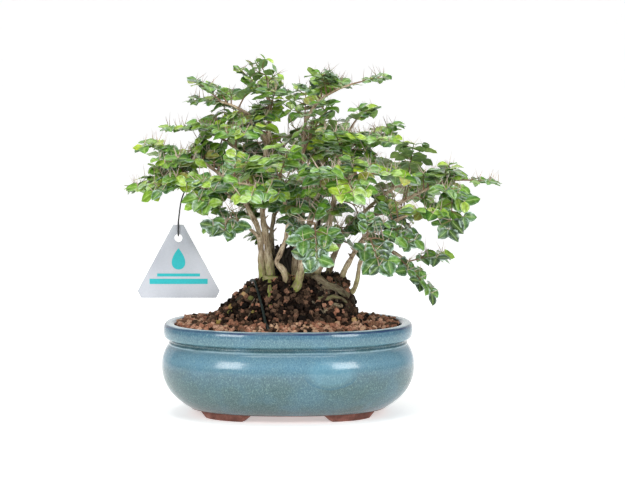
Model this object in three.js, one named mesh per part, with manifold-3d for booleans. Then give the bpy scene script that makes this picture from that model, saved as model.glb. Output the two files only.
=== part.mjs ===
// A damnacanthus bonsai in an oval glazed pot, in millimetres, with +Z up and the viewer on the -Y side.
// Eleven thin stems rise from one root crown on a mound of soil. Their branches carry leafy sprays with
// pairs of ovate leaves and needle spines. A wire straps the root ball down, and a blank tag hangs at the left.
import * as THREE from "three";
import { mergeVertices } from "three/addons/utils/BufferGeometryUtils.js";
import Module from "manifold-3d";

const wasm = await Module();
wasm.setup();

// Driving dimensions. Heights are above the surface that the feet stand on, places are from the pot's centre.
const GAP = 0.35;

const POT = {
  halfLength: 99.5,
  halfWidth: 77,
  squareness: 2.3,
  height: 73.5,
  footHeight: 6,
  floorTop: 12.5,
  rimOverhang: 4.6,
  lipWidth: 10,
  segments: 32,
};
const DRAIN = { radius: 7, offset: 42, meshSide: 26, meshThick: 1.2, meshHole: 5, meshPitch: 7.5, meshCells: 3 };
const FOOT = { centreDegrees: 47.5, spanDegrees: 51, outer: -22, inner: -34, steps: 6, sink: 3, soleTaper: 0.36 };

const SOIL = { edge: 71.5, rings: 8, roughness: 0.8, seed: 11 };
const MOUND = {
  centre: 8,
  leftReach: 76,
  rightReach: 47,
  depthReach: 50,
  rise: 36,
  slope: 0.62,
  rightSlope: 0.22,
  rounding: 0.3,
};

const ANCHOR = {
  radius: 1.1, sides: 6, steps: 16, bury: 9,
  // Each point is [x, y, height of the wire's underside over the soil]
  route: [[-15, -54, 1.3], [-17, -44, 1.4], [-20, -33, 1.4], [-24, -20, 2], [-27, -10, 3.6], [-31, 5, 1.8],
    [-35, 22, 1.3], [-38, 38, 1.3], [-38, 50, 1.3]],
};
const TAG = { centre: [-86.5, -16, 123], width: 65, height: 58, topWidth: 8, cornerRise: 5.5, cornerInset: 2.8,
  thick: 0.8, holeRadius: 3.2, holeDrop: 10.5 };
const TAG_WIRE = { radius: 0.55, sides: 4, branch: "left_low", at: 0.62 };

// A spray's solid starts at the first skip along its twig that leaves the branch clear.
const SPRAY = { seed: 500, pitch: 8, bareShare: 0.12, twigHalf: 0.66, sideHalf: 0.5, tipHalf: 0.4, nodeLength: 1.5,
  firstSkip: 0.5, lastSkip: 5.75, skipStep: 0.25 };
const LEAF = { thick: 0.6, widest: 0.34, upper: 0.7, upperShare: 0.66, diamondWidest: 0.42, curl: 0.18,
  largeFrom: 13.5 };
const SPINE = { least: 8, most: 14 };
const KEPT = { nodes: 4, sideTwigs: 2, sideNodes: 1, spines: 3, leastLeaves: 6 };
const KEPT_INSIDE = { nodes: 7, sideTwigs: 6, sideNodes: 1, spines: 3, leastLeaves: 12 };
const CANOPY = [15, 0, 150];

// Each stem is a list of [x, y, z] points from the root crown upwards, with its radius at both ends.
const STEMS = {
  far_left: { radii: [3.0, 1.5], path: [[-18, -5, 93], [-21, -6, 120], [-22, -7, 140], [-26, -8, 154],
    [-36, -10, 172], [-46, -10, 186]] },
  leader: { radii: [3.0, 1.2], path: [[-11, -7, 93], [-15, -9, 122], [-17.5, -8, 142], [-20, -6, 158],
    [-21, -2, 185], [-17, 2, 215], [-14, 3, 242], [-17, 2, 256]] },
  left_back: { radii: [2.2, 1.2], path: [[-7, 6, 93], [-12, 9, 126], [-13.5, 11, 145], [-9, 18, 170],
    [-6, 28, 195], [-4, 38, 214]] },
  crooked: { radii: [2.4, 1.2], path: [[0, -16, 93], [-2.5, -20, 114], [-8.5, -22, 122.5],
    [-5, -24, 132], [-1, -26, 144], [0, -29, 158], [-3, -36, 175], [-6, -46, 190]] },
  centre: { radii: [2.8, 1.3], path: [[5, 2, 94], [6, 2, 126], [8, 1, 145], [11, 0, 158], [13, -1, 182],
    [12, -2, 210], [14, 0, 236]] },
  front: { radii: [3.5, 1.5], path: [[3, -20, 92], [8, -26, 107], [11, -26, 119], [12, -26, 130],
    [14, -27, 144], [20, -32, 166], [26, -42, 182]] },
  shaded: { radii: [2.6, 1.3], path: [[12, 13, 93], [19, 20, 122], [22, 23, 140], [26, 31, 162],
    [24, 42, 185], [20, 50, 205]] },
  stout: { radii: [3.3, 1.4], path: [[18, -8, 93], [23, -10, 114], [27.5, -11, 124], [31, -12, 140],
    [34, -12, 158], [38, -10, 180], [41, -8, 203], [47, -6, 222]] },
  right_back: { radii: [2.5, 1.3], path: [[27, 7, 92], [34, 13, 117], [39, 15, 130], [46, 16, 145],
    [57, 14, 156], [78, 12, 160], [98, 10, 165]] },
  right: { radii: [2.4, 1.2], path: [[37, -2, 92], [44, -3, 112], [49, -4, 122], [54, -6, 131],
    [62, -12, 143], [78, -18, 152], [94, -22, 160]] },
  far_right: { radii: [2.1, 1.0], path: [[42, -3, 92], [50, -5, 97], [54, -5, 103], [56, -6, 113],
    [57.5, -7, 121], [61, -9, 129], [68, -10, 135], [80, -8, 132], [96, -6, 122]] },
};
const BRANCHES = {
  left_low: { radii: [1.6, 1.0], path: [[-35, -10, 170], [-58, -13, 178], [-82, -15, 187],
    [-100, -10, 184]] },
  left_mid: { radii: [1.5, 0.9], path: [[-45, -10, 184], [-64, -8, 199], [-84, -4, 208]] },
  left_top: { radii: [1.5, 0.9], path: [[-17, 2, 216], [-28, -1, 236], [-42, -4, 245], [-53, -4, 249]] },
  left_high: { radii: [1.5, 0.9], path: [[-21, -2, 186], [-36, 4, 206], [-52, 8, 219], [-67, 12, 226]] },
  low_left: { radii: [1.4, 0.9], path: [[-22, -7, 141], [-34, -22, 152], [-46, -36, 158]] },
  front_left: { radii: [1.4, 0.9], path: [[-3, -36, 175], [-22, -46, 183], [-42, -56, 188]] },
  front_low: { radii: [1.4, 0.9], path: [[14, -28, 146], [17, -43, 153], [21, -58, 156]] },
  front_right: { radii: [1.4, 0.9], path: [[25, -41, 181], [42, -56, 190], [60, -66, 194]] },
  top_right: { radii: [1.4, 0.8], path: [[14, 0, 234], [24, -4, 249], [38, -8, 258], [51, -8, 263]] },
  right_high: { radii: [1.4, 0.8], path: [[45, -6, 219], [48, -9, 225], [50, -12, 229]] },
  right_shoulder: { radii: [1.4, 0.9], path: [[41, -8, 203], [50, -3, 213], [60, 2, 220]] },
  right_long: { radii: [1.5, 0.9], path: [[77, 12, 160], [96, 2, 172], [116, -4, 182], [134, -6, 187]] },
  right_rear: { radii: [1.5, 0.9], path: [[57, 14, 156], [72, 30, 169], [92, 42, 182], [108, 46, 190]] },
  right_front: { radii: [1.3, 0.9], path: [[54, -6, 131], [60, -24, 140], [64, -42, 143]] },
  back_left: { radii: [1.4, 0.9], path: [[-6, 28, 195], [-26, 44, 201], [-48, 56, 205]] },
  back_right: { radii: [1.4, 0.9], path: [[24, 42, 185], [44, 58, 193], [64, 68, 197]] },
  back_centre: { radii: [1.3, 0.9], path: [[20, 50, 204], [12, 66, 210], [2, 80, 207]] },
};
const ROOTS = [
  { radii: [3.0, 1.3], path: [[-15, -5, 99], [-29, -11, 101], [-42, -13, 91], [-54, -12, 80]] },
  { radii: [3.8, 2.4], path: [[20, -6, 100], [34, -10, 107], [46, -8, 101], [52, -3, 88]] },
  { radii: [2.4, 1.4], path: [[13, -13, 97], [23, -25, 102], [34, -29, 94], [43, -27, 82]] },
  { radii: [2.6, 1.3], path: [[12, 10, 97], [16, 24, 102], [20, 37, 87], [22, 46, 76]] },
];
const CROWN = { centre: [10, -3, 92], size: [36, 23, 9] };

// Each spray grows from a stem or branch at a share of its length, and runs to its tip.
// spread is the longest side twig, leaf the longest blade and bend how far the twig's middle is pushed.
// The two inner ones fill the middle of the canopy, so more of their twigs are kept.
const SPRAYS = {
  left_far_low: { on: "left_low", at: 1, tip: [-128, -8, 180], spread: 20, leaf: 16, bend: [0, 0, 3] },
  left_low_near: { on: "left_low", at: 0.42, tip: [-70, -40, 170], spread: 20, leaf: 17, bend: [0, 0, 5] },
  left_low_far: { on: "left_low", at: 0.8, tip: [-104, -38, 179], spread: 18, leaf: 16, bend: [0, 0, 4] },
  left_far_mid: { on: "left_mid", at: 1, tip: [-114, -2, 214], spread: 20, leaf: 16, bend: [0, 0, 3] },
  left_mid_front: { on: "left_mid", at: 0.6, tip: [-95, -36, 201], spread: 19, leaf: 16, bend: [0, 0, 4] },
  left_mid_back: { on: "left_mid", at: 0.75, tip: [-100, 32, 204], spread: 20, leaf: 16, bend: [0, 0, 4] },
  left_top: { on: "left_top", at: 1, tip: [-73, -9, 265], spread: 16, leaf: 14, bend: [0, 0, 2] },
  left_top_back: { on: "left_top", at: 0.72, tip: [-76, 18, 250], spread: 16, leaf: 14, bend: [0, 0, 4] },
  left_high: { on: "left_high", at: 1, tip: [-96, 14, 228], spread: 17, leaf: 15, bend: [0, 0, 3] },
  left_high_front: { on: "left_high", at: 0.62, tip: [-66, -28, 230], spread: 17, leaf: 15,
    bend: [0, 0, 4] },
  crown_left: { on: "leader", at: 0.94, tip: [-37, 9, 274], spread: 14, leaf: 13, bend: [-3, 0, 3] },
  crown_top: { on: "leader", at: 0.97, tip: [-24, -6, 280], spread: 18, leaf: 13, bend: [6, 0, 4] },
  crown_front: { on: "leader", at: 0.86, tip: [-9, -31, 257], spread: 17, leaf: 14, bend: [0, 0, 4] },
  top_right_long: { on: "top_right", at: 1, tip: [76, -6, 268], spread: 12, leaf: 12, bend: [0, 0, 1] },
  top_right_pad: { on: "top_right", at: 0.5, tip: [26, -27, 271], spread: 17, leaf: 14, bend: [0, 0, 4] },
  top_right_back: { on: "top_right", at: 0.7, tip: [44, 22, 262], spread: 17, leaf: 14, bend: [0, 0, 4] },
  top_middle: { on: "centre", at: 0.95, tip: [14, 32, 258], spread: 17, leaf: 14, bend: [0, 0, 4] },
  right_high: { on: "right_high", at: 1, tip: [62, -22, 243], spread: 17, leaf: 14, bend: [0, 0, 3] },
  right_shoulder: { on: "right_shoulder", at: 1, tip: [85, 8, 230], spread: 18, leaf: 15, bend: [0, 0, 3] },
  right_shoulder_front: { on: "right_shoulder", at: 0.62, tip: [79, -34, 218], spread: 18, leaf: 16,
    bend: [0, 0, 4] },
  right_shoulder_back: { on: "right_shoulder", at: 0.8, tip: [82, 36, 222], spread: 18, leaf: 15,
    bend: [0, 0, 4] },
  right_crest: { on: "right_rear", at: 0.8, tip: [101, 14, 215], spread: 18, leaf: 15, bend: [0, 0, 5] },
  right_long: { on: "right_long", at: 1, tip: [167, -6, 185], spread: 14, leaf: 14, bend: [0, 0, 1] },
  right_long_front: { on: "right_long", at: 0.62, tip: [132, -40, 178], spread: 19, leaf: 17,
    bend: [0, 0, 4] },
  right_drop: { on: "right_long", at: 0.9, tip: [126, -26, 149], spread: 15, leaf: 18, bend: [5, 0, 3] },
  right_near: { on: "right", at: 1, tip: [112, -50, 163], spread: 19, leaf: 17, bend: [0, 0, 4] },
  right_low: { on: "right", at: 0.84, tip: [94, -34, 139], spread: 17, leaf: 17, bend: [0, 0, 2] },
  low_right: { on: "far_right", at: 1, tip: [124, -4, 126], spread: 14, leaf: 15, bend: [0, 0, 2] },
  low_right_drop: { on: "far_right", at: 0.86, tip: [113, -26, 99], spread: 11, leaf: 16,
    bend: [2, -4, 3] },
  right_rear: { on: "right_rear", at: 1, tip: [138, 52, 188], spread: 19, leaf: 16, bend: [0, 0, 3] },
  right_rear_low: { on: "right_rear", at: 0.6, tip: [112, 70, 170], spread: 19, leaf: 16, bend: [0, 0, 4] },
  front_right: { on: "front_right", at: 1, tip: [88, -86, 191], spread: 19, leaf: 17, bend: [0, 0, 3] },
  front_right_near: { on: "front_right", at: 0.6, tip: [50, -92, 178], spread: 19, leaf: 17,
    bend: [0, 0, 5] },
  front_left: { on: "front_left", at: 1, tip: [-68, -80, 189], spread: 19, leaf: 16, bend: [0, 0, 3] },
  front_left_near: { on: "front_left", at: 0.5, tip: [-26, -88, 178], spread: 19, leaf: 16,
    bend: [0, 0, 5] },
  front_middle: { on: "crooked", at: 1, tip: [2, -76, 212], spread: 19, leaf: 16, bend: [0, 0, 4] },
  front_upper: { on: "stout", at: 0.9, tip: [36, -58, 225], spread: 19, leaf: 15, bend: [0, 0, 5] },
  front_centre: { on: "front", at: 1, tip: [24, -98, 199], spread: 19, leaf: 17, bend: [0, 0, 5] },
  front_high_left: { on: "leader", at: 0.76, tip: [-46, -46, 224], spread: 19, leaf: 16, bend: [0, 0, 5] },
  centre_high: { on: "centre", at: 0.82, tip: [31, -34, 246], spread: 18, leaf: 15, bend: [0, 0, 4] },
  front_low_left: { on: "low_left", at: 1, tip: [-48, -56, 150], spread: 15, leaf: 18, bend: [0, 0, 3] },
  front_low: { on: "front_low", at: 1, tip: [23, -84, 131], spread: 14, leaf: 20, bend: [0, 0, 4] },
  front_low_right: { on: "right_front", at: 1, tip: [70, -68, 124], spread: 14, leaf: 20, bend: [0, 0, 4] },
  back_left: { on: "back_left", at: 1, tip: [-78, 74, 199], spread: 20, leaf: 16, bend: [0, 0, 3] },
  back_left_low: { on: "back_left", at: 0.6, tip: [-44, 88, 174], spread: 20, leaf: 16, bend: [0, 0, 5] },
  back_left_high: { on: "left_back", at: 1, tip: [-34, 52, 234], spread: 19, leaf: 15, bend: [0, 0, 5] },
  back_centre: { on: "back_centre", at: 1, tip: [-6, 108, 196], spread: 20, leaf: 16, bend: [0, 0, 4] },
  back_high: { on: "shaded", at: 0.93, tip: [40, 62, 233], spread: 19, leaf: 15, bend: [0, 0, 5] },
  back_right: { on: "back_right", at: 1, tip: [92, 90, 194], spread: 20, leaf: 16, bend: [0, 0, 4] },
  back_right_low: { on: "back_right", at: 0.45, tip: [48, 98, 172], spread: 19, leaf: 16, bend: [0, 0, 5] },
  inner_right: { on: "centre", at: 0.5, tip: [26, 34, 214], spread: 24, leaf: 16, bend: [4, 8, -4],
    kept: KEPT_INSIDE },
  inner_left: { on: "left_back", at: 0.4, tip: [-54, 8, 196], spread: 24, leaf: 16, bend: [0, 6, 0],
    kept: KEPT_INSIDE },
};

// Colours and finishes
const glazedClay = new THREE.MeshStandardMaterial({ color: 0x5f8f98, roughness: 0.25, metalness: 0 });
const rustSoil = new THREE.MeshStandardMaterial({ color: 0x6b4433, roughness: 0.95, metalness: 0 });
const greyBark = new THREE.MeshStandardMaterial({ color: 0x8a765c, roughness: 0.85, metalness: 0 });
const glossyLeaf = new THREE.MeshStandardMaterial({ color: 0x4c7f32, roughness: 0.4, metalness: 0 });
const darkWire = new THREE.MeshStandardMaterial({ color: 0x2b302f, roughness: 0.5, metalness: 0.4 });
const frostedPlastic = new THREE.MeshStandardMaterial({ color: 0xd3d6da, roughness: 0.45, metalness: 0 });
const blackPlastic = new THREE.MeshStandardMaterial({ color: 0x202224, roughness: 0.6, metalness: 0 });

const vector = ([x, y, z]) => new THREE.Vector3(x, y, z);
const UP = new THREE.Vector3(0, 0, 1);

// A repeatable stream of numbers from 0 to 1
function randomFrom(seed) {
  let state = seed >>> 0;
  return () => {
    state = (state + 0x6d2b79f5) >>> 0;
    let mixed = Math.imul(state ^ (state >>> 15), state | 1);
    mixed ^= mixed + Math.imul(mixed ^ (mixed >>> 7), mixed | 61);
    return ((mixed ^ (mixed >>> 14)) >>> 0) / 4294967296;
  };
}

// Solids
function solidOf(geometry) {
  const bare = new THREE.BufferGeometry().setAttribute("position", geometry.getAttribute("position").clone());
  if (geometry.index) bare.setIndex(geometry.index.clone());
  const merged = mergeVertices(bare, 1e-4);
  const mesh = new wasm.Mesh({
    numProp: 3,
    vertProperties: new Float32Array(merged.attributes.position.array),
    triVerts: new Uint32Array(merged.index.array),
  });
  mesh.merge();
  const solid = new wasm.Manifold(mesh);
  if (solid.volume() < 0) throw new Error("a solid is inside out");
  return solid;
}

function geometryOf(solid) {
  const mesh = solid.getMesh();
  const positions = new Float32Array(mesh.numVert * 3);
  for (let i = 0; i < mesh.numVert; i++) {
    positions.set(mesh.vertProperties.subarray(i * mesh.numProp, i * mesh.numProp + 3), i * 3);
  }
  return new THREE.BufferGeometry()
    .setAttribute("position", new THREE.BufferAttribute(positions, 3))
    .setIndex(new THREE.BufferAttribute(mesh.triVerts, 1));
}

const joined = (solids) => wasm.Manifold.union(solids);

function movePoints(geometry, move) {
  const position = geometry.getAttribute("position");
  const point = new THREE.Vector3();
  for (let i = 0; i < position.count; i++) {
    move(point.fromBufferAttribute(position, i), i);
    position.setXYZ(i, point.x, point.y, point.z);
  }
  return geometry;
}

// Limbs
const curveThrough = (path) => new THREE.CatmullRomCurve3(path.map(vector), false, "catmullrom", 0.5);

// Cross directions along a line of points, each turned as little as possible from the one before
function framesAlong(points) {
  const frames = [];
  let across = null;
  points.forEach((point, i) => {
    const before = points[Math.max(0, i - 1)];
    const after = points[Math.min(points.length - 1, i + 1)];
    const along = after.clone().sub(before).normalize();
    if (!across) across = new THREE.Vector3(0, 1, 0);
    across = across.clone().addScaledVector(along, -across.dot(along)).normalize();
    frames.push({ point, across, over: along.clone().cross(across) });
  });
  return frames;
}

// A closed tapered tube through points: a cylinder whose rows are carried to the points
function limb(points, radiusAt, sides, grow = 0) {
  const rows = points.length - 1;
  const frames = framesAlong(points);
  const tube = new THREE.CylinderGeometry(1, 1, 1, sides, rows);
  movePoints(tube, (point) => {
    const row = Math.round((0.5 - point.y) * rows);
    const frame = frames[rows - row];
    const radius = radiusAt((rows - row) / rows) + grow;
    const { x, z } = point;
    point
      .copy(frame.point)
      .addScaledVector(frame.across, x * radius)
      .addScaledVector(frame.over, -z * radius);
  });
  return solidOf(tube);
}

const taper = ([start, end]) => (share) => start + (end - start) * share;

// A stem swells a little at its foot and at the knots where leaves once grew
function barkRadius(radii, seed) {
  const random = randomFrom(seed);
  const phase = random() * 6;
  const plain = taper(radii);
  return (share) => plain(share) * (1 + 0.35 * Math.exp(-share * 14) + 0.09 * Math.sin(share * 31 + phase));
}

// Pot
const powered = (value, power) => Math.sign(value) * Math.abs(value) ** power;

// Carries a point of a turned shape to the oval plan. Its distance from the axis is read as along the length.
function toOval(point) {
  const reach = Math.hypot(point.x, point.y);
  const angle = Math.atan2(point.y, point.x);
  const lost = POT.halfLength - POT.halfWidth;
  const widthReach = reach - lost * Math.min(1, reach / (POT.halfLength * 0.6));
  const power = 2 / POT.squareness;
  point.x = reach * powered(Math.cos(angle), power);
  point.y = widthReach * powered(Math.sin(angle), power);
}

// A solid turned from [offset from the rim's outline, height] points, with an oval plan
function ovalTurned(profile) {
  const points = profile.map(([offset, height]) => new THREE.Vector2(Math.max(0, POT.halfLength + offset), height));
  const turned = new THREE.LatheGeometry(points, POT.segments).rotateX(Math.PI / 2);
  return movePoints(turned, toOval);
}

const TO_AXIS = -POT.halfLength;
const WALL_INSIDE = [[-27, POT.floorTop], [-14, 24], [-POT.lipWidth, 44], [-POT.lipWidth, 70]];

function potSolid() {
  const bottom = POT.footHeight;
  const lip = POT.height;
  const outside = [
    [TO_AXIS, bottom], [-24, bottom], [-17.5, 9], [-8, 15.5], [-1, 26], [1.6, 38], [0.4, 48], [-2.6, 54],
    [-POT.rimOverhang, 59], [-1, 63], [0.2, 68.5], [-1.8, lip],
  ];
  const inside = [[-7.5, lip], ...WALL_INSIDE.toReversed(), [TO_AXIS, POT.floorTop]];
  const body = solidOf(ovalTurned([...outside, ...inside]));
  const feet = [];
  for (const side of [0, 1]) {
    for (const end of [-1, 1]) {
      feet.push(footSolid(side * 180 + end * FOOT.centreDegrees));
    }
  }
  const holes = [-1, 1].map((end) => {
    const drill = new THREE.CylinderGeometry(DRAIN.radius, DRAIN.radius, 40, 16).rotateX(Math.PI / 2);
    return solidOf(drill.translate(end * DRAIN.offset, 0, 10));
  });
  return joined([body, ...feet]).subtract(joined(holes));
}

// A foot follows the base's outline and narrows towards its sole
function footSolid(centreDegrees) {
  const corner = (offset, degrees) => {
    const angle = THREE.MathUtils.degToRad(degrees);
    const reach = POT.halfLength + offset;
    const point = new THREE.Vector3(reach * Math.cos(angle), reach * Math.sin(angle), 0);
    toOval(point);
    return point;
  };
  const outline = [];
  const first = centreDegrees - FOOT.spanDegrees / 2;
  for (let i = 0; i <= FOOT.steps; i++) {
    outline.push(corner(FOOT.outer, first + (FOOT.spanDegrees * i) / FOOT.steps));
  }
  for (let i = FOOT.steps; i >= 0; i--) {
    outline.push(corner(FOOT.inner, first + (FOOT.spanDegrees * i) / FOOT.steps));
  }
  const middle = corner((FOOT.outer + FOOT.inner) / 2, centreDegrees);
  const shape = new THREE.Shape(outline.map((p) => new THREE.Vector2(p.x, p.y)));
  const tall = POT.footHeight + FOOT.sink;
  const block = new THREE.ExtrudeGeometry(shape, { depth: tall, bevelEnabled: false });
  return solidOf(
    movePoints(block, (point) => {
      const share = (1 - point.z / tall) * FOOT.soleTaper;
      point.x += (middle.x - point.x) * share;
      point.y += (middle.y - point.y) * share;
    }),
  );
}

function drainMesh(end) {
  const plate = solidOf(new THREE.BoxGeometry(DRAIN.meshSide, DRAIN.meshSide, DRAIN.meshThick));
  const reach = (DRAIN.meshCells - 1) / 2;
  const holes = [];
  for (let row = -reach; row <= reach; row++) {
    for (let column = -reach; column <= reach; column++) {
      const hole = new THREE.BoxGeometry(DRAIN.meshHole, DRAIN.meshHole, 2 * DRAIN.meshThick);
      holes.push(solidOf(hole.translate(column * DRAIN.meshPitch, row * DRAIN.meshPitch, 0)));
    }
  }
  const height = POT.floorTop + GAP + DRAIN.meshThick / 2;
  return plate.subtract(joined(holes)).translate([end * DRAIN.offset, 0, height]);
}

function meshPocket(end) {
  const side = DRAIN.meshSide + 2 * GAP;
  const tall = DRAIN.meshThick + 4 * GAP;
  const box = new THREE.BoxGeometry(side, side, tall);
  return solidOf(box.translate(end * DRAIN.offset, 0, POT.floorTop + tall / 2 - GAP));
}

// Soil: level granules with the old root ball standing proud as a mound
const smooth = (share) => {
  const t = Math.min(1, Math.max(0, share));
  return t * t * (3 - 2 * t);
};

function soilHeight(x, y) {
  const reach = x < MOUND.centre ? MOUND.leftReach : MOUND.rightReach;
  const away = Math.hypot((x - MOUND.centre) / reach, y / MOUND.depthReach);
  const rightward = (x - MOUND.centre) / reach / Math.max(away, 0.1);
  const slope = MOUND.slope + (MOUND.rightSlope - MOUND.slope) * smooth((rightward - 0.3) / 0.6);
  const climbed = Math.min(1, Math.max(0, (1 - away) / slope));
  const rounded = climbed + (smooth(climbed) - climbed) * MOUND.rounding;
  return SOIL.edge + 1 + MOUND.rise * rounded - smooth(away - 1);
}

function soilSolid(cutters) {
  const inner = WALL_INSIDE.map(([offset, height]) => [offset - GAP, height + GAP]);
  inner[inner.length - 1][1] = SOIL.edge;
  const bottom = inner[0][1];
  const topReach = POT.halfLength - POT.lipWidth - GAP;
  const top = [];
  for (let ring = 1; ring < SOIL.rings; ring++) {
    top.push([topReach * (1 - ring / SOIL.rings) - POT.halfLength, SOIL.edge + 1]);
  }
  const geometry = ovalTurned([[TO_AXIS, bottom], ...inner, ...top, [TO_AXIS, SOIL.edge + 1]]);
  const random = randomFrom(SOIL.seed);
  const jitter = new Map();
  movePoints(geometry, (point) => {
    if (point.z <= SOIL.edge + 0.5) return;
    const key = Math.round(point.x * 50) + "," + Math.round(point.y * 50);
    if (!jitter.has(key)) jitter.set(key, (random() - 0.5) * 2 * SOIL.roughness);
    point.z = soilHeight(point.x, point.y) + jitter.get(key);
  });
  return solidOf(geometry).subtract(joined(cutters));
}

// Wood: root crown, roots, stems and branches, grown together
function crownSolid(grow) {
  const [x, y, z] = CROWN.size.map((size) => size + grow);
  return solidOf(new THREE.IcosahedronGeometry(1, 1).scale(x, y, z).translate(...CROWN.centre));
}

const rootBase = (grow) => joined([
  crownSolid(grow),
  ...ROOTS.map(({ radii, path }) => limb(curveThrough(path).getPoints(4), taper(radii), 4, grow)),
]);

function stemsAlone(grow) {
  return Object.values(STEMS).map(({ radii, path }, i) => {
    return limb(curveThrough(path).getPoints(path.length), barkRadius(radii, 60 + i), radii[0] > 2.5 ? 6 : 5, grow);
  });
}

function branchesAlone() {
  return Object.values(BRANCHES).map(({ radii, path }) => limb(curveThrough(path).getPoints(3), taper(radii), 4));
}

const limbCurve = (name) => curveThrough((STEMS[name] ?? BRANCHES[name]).path);

function limbRadius(name, at) {
  return STEMS[name]
    ? barkRadius(STEMS[name].radii, 60 + Object.keys(STEMS).indexOf(name))(at)
    : taper(BRANCHES[name].radii)(at);
}

// Sprays: a plan holds the nodes of one spray, where its leaves, spines and side twigs grow
function crossFrame(point, along, upward) {
  const over = upward.clone().addScaledVector(along, -upward.dot(along)).normalize();
  return { point, along, over, across: over.clone().cross(along) };
}

function sprayPlan(name, index) {
  const { on, at, tip, spread, leaf, bend } = SPRAYS[name];
  const random = randomFrom(SPRAY.seed + index);
  const between = (low, high) => low + (high - low) * random();
  const start = limbCurve(on).getPoint(at);
  const end = vector(tip);
  const middle = start.clone().lerp(end, 0.5).add(vector(bend));
  const twig = new THREE.QuadraticBezierCurve3(start, middle, end);
  const chord = end.clone().sub(start).normalize();
  const across = UP.clone().cross(chord).normalize();
  const upward = chord.clone().cross(across);
  const count = Math.max(4, Math.round(twig.getLength() / SPRAY.pitch));

  const grown = (frame, size) => {
    const outward = frame.point.clone().sub(vector(CANOPY)).normalize();
    const leaves = [-1, 1].map((hand) => {
      const turn = THREE.MathUtils.degToRad(between(48, 76));
      const axis = frame.along.clone().multiplyScalar(Math.cos(turn));
      axis.addScaledVector(frame.across, hand * Math.sin(turn)).addScaledVector(outward, 0.2);
      axis.z += between(-0.5, 0.12);
      axis.normalize();
      const face = frame.over.clone().addScaledVector(UP, 0.4).addScaledVector(outward, between(0.2, 1.2));
      face.add(new THREE.Vector3(between(-0.35, 0.35), between(-0.35, 0.35), 0));
      const long = leaf * size * between(0.72, 1.04);
      return { hand, axis, face, long, wide: long * between(0.68, 0.86) };
    });
    const spine = frame.over.clone().addScaledVector(frame.across, between(-0.8, 0.8));
    spine.addScaledVector(frame.along, between(-0.2, 0.5)).normalize();
    return { frame, leaves, spine: { axis: spine, long: between(SPINE.least, SPINE.most) } };
  };

  const nodes = [];
  for (let i = 1; i <= count; i++) {
    const last = i === count;
    const share = last ? 1 : SPRAY.bareShare + (1 - SPRAY.bareShare) * (i / count);
    const frame = crossFrame(twig.getPoint(share), twig.getTangent(share), upward);
    const node = { share, ...grown(frame, last ? 0.75 : 1 - 0.2 * share) };
    if (!last) {
      const hand = i % 2 ? 1 : -1;
      const turn = THREE.MathUtils.degToRad(between(42, 66));
      const way = frame.along.clone().multiplyScalar(Math.cos(turn));
      way.addScaledVector(frame.across, hand * Math.sin(turn));
      way.z += between(-0.12, 0.3);
      way.normalize();
      const reach = spread * (1 - 0.5 * share) * between(0.75, 1.05);
      const pairs = Math.max(1, Math.round(reach / SPRAY.pitch));
      const sideNodes = [];
      for (let j = 1; j <= pairs; j++) {
        const point = frame.point.clone().addScaledVector(way, (reach * j) / pairs);
        sideNodes.push({ share: j / pairs, ...grown(crossFrame(point, way, frame.over), 0.95 - (0.2 * j) / pairs) });
      }
      node.side = { hand, way, reach, nodes: sideNodes };
    }
    nodes.push(node);
  }
  return { twig, upward, nodes };
}

// What grows from a four-cornered face of a twig. Corners 0 and 1 are the face's upper edge, 2 and 3 the lower,
// in the order that turns left seen from outside. New corners are numbered from 4.
function blade(corners, { axis, face, long, wide }) {
  const base = corners.reduce((sum, corner) => sum.add(corner), new THREE.Vector3()).multiplyScalar(0.25);
  const across = axis.clone().cross(face).normalize();
  const normal = across.clone().cross(axis);
  const half = wide / 2;
  const right = long > LEAF.largeFrom
    ? [[half, LEAF.widest * long], [half * LEAF.upperShare, LEAF.upper * long]]
    : [[half, LEAF.diamondWidest * long]];
  const left = right.toReversed().map(([x, y]) => [-x, y]);
  const outline = [...right, [0, long], ...left];
  const points = [LEAF.thick / 2, -LEAF.thick / 2].flatMap((level) =>
    outline.map(([x, y]) =>
      base.clone()
        .addScaledVector(across, x)
        .addScaledVector(axis, y)
        .addScaledVector(normal, level - LEAF.curl * long * (y / long) ** 2)));
  const upper = [0, 1, ...outline.map((_, i) => 4 + i)];
  const lower = [3, 2, ...outline.map((_, i) => 4 + outline.length + i)];
  const faces = [];
  for (const [sheet, turned] of [[upper, false], [lower, true]]) {
    let [leftSide, rightSide] = [0, 1];
    while (true) {
      const nextRight = rightSide + 1;
      const nextLeft = leftSide === 0 ? sheet.length - 1 : leftSide - 1;
      faces.push(turned
        ? [sheet[leftSide], sheet[nextRight], sheet[rightSide]]
        : [sheet[leftSide], sheet[rightSide], sheet[nextRight]]);
      if (nextRight === nextLeft) break;
      faces.push(turned
        ? [sheet[leftSide], sheet[nextLeft], sheet[nextRight]]
        : [sheet[leftSide], sheet[nextRight], sheet[nextLeft]]);
      [leftSide, rightSide] = [nextLeft, nextRight];
      if (nextRight + 1 === nextLeft && sheet.length % 2) continue;
    }
  }
  for (let i = 1; i < upper.length; i++) {
    const next = (i + 1) % upper.length;
    faces.push([upper[i], lower[i], lower[next]], [upper[i], lower[next], upper[next]]);
  }
  return { points, faces };
}

function spike(corners, { axis, long }) {
  const base = corners.reduce((sum, corner) => sum.add(corner), new THREE.Vector3()).multiplyScalar(0.25);
  const points = [base.addScaledVector(axis, long)];
  return { points, faces: [[0, 1, 4], [1, 2, 4], [2, 3, 4], [3, 0, 4]] };
}

// The solid of a growth alone, closed by its face, to test whether it is clear
function aloneSolid(corners, { points, faces }) {
  const all = [...corners, ...points].flatMap((point) => point.toArray());
  return solidOf(new THREE.BufferGeometry()
    .setAttribute("position", new THREE.BufferAttribute(new Float32Array(all), 3))
    .setIndex([...faces, [0, 3, 2], [0, 2, 1]].flat()));
}

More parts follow.
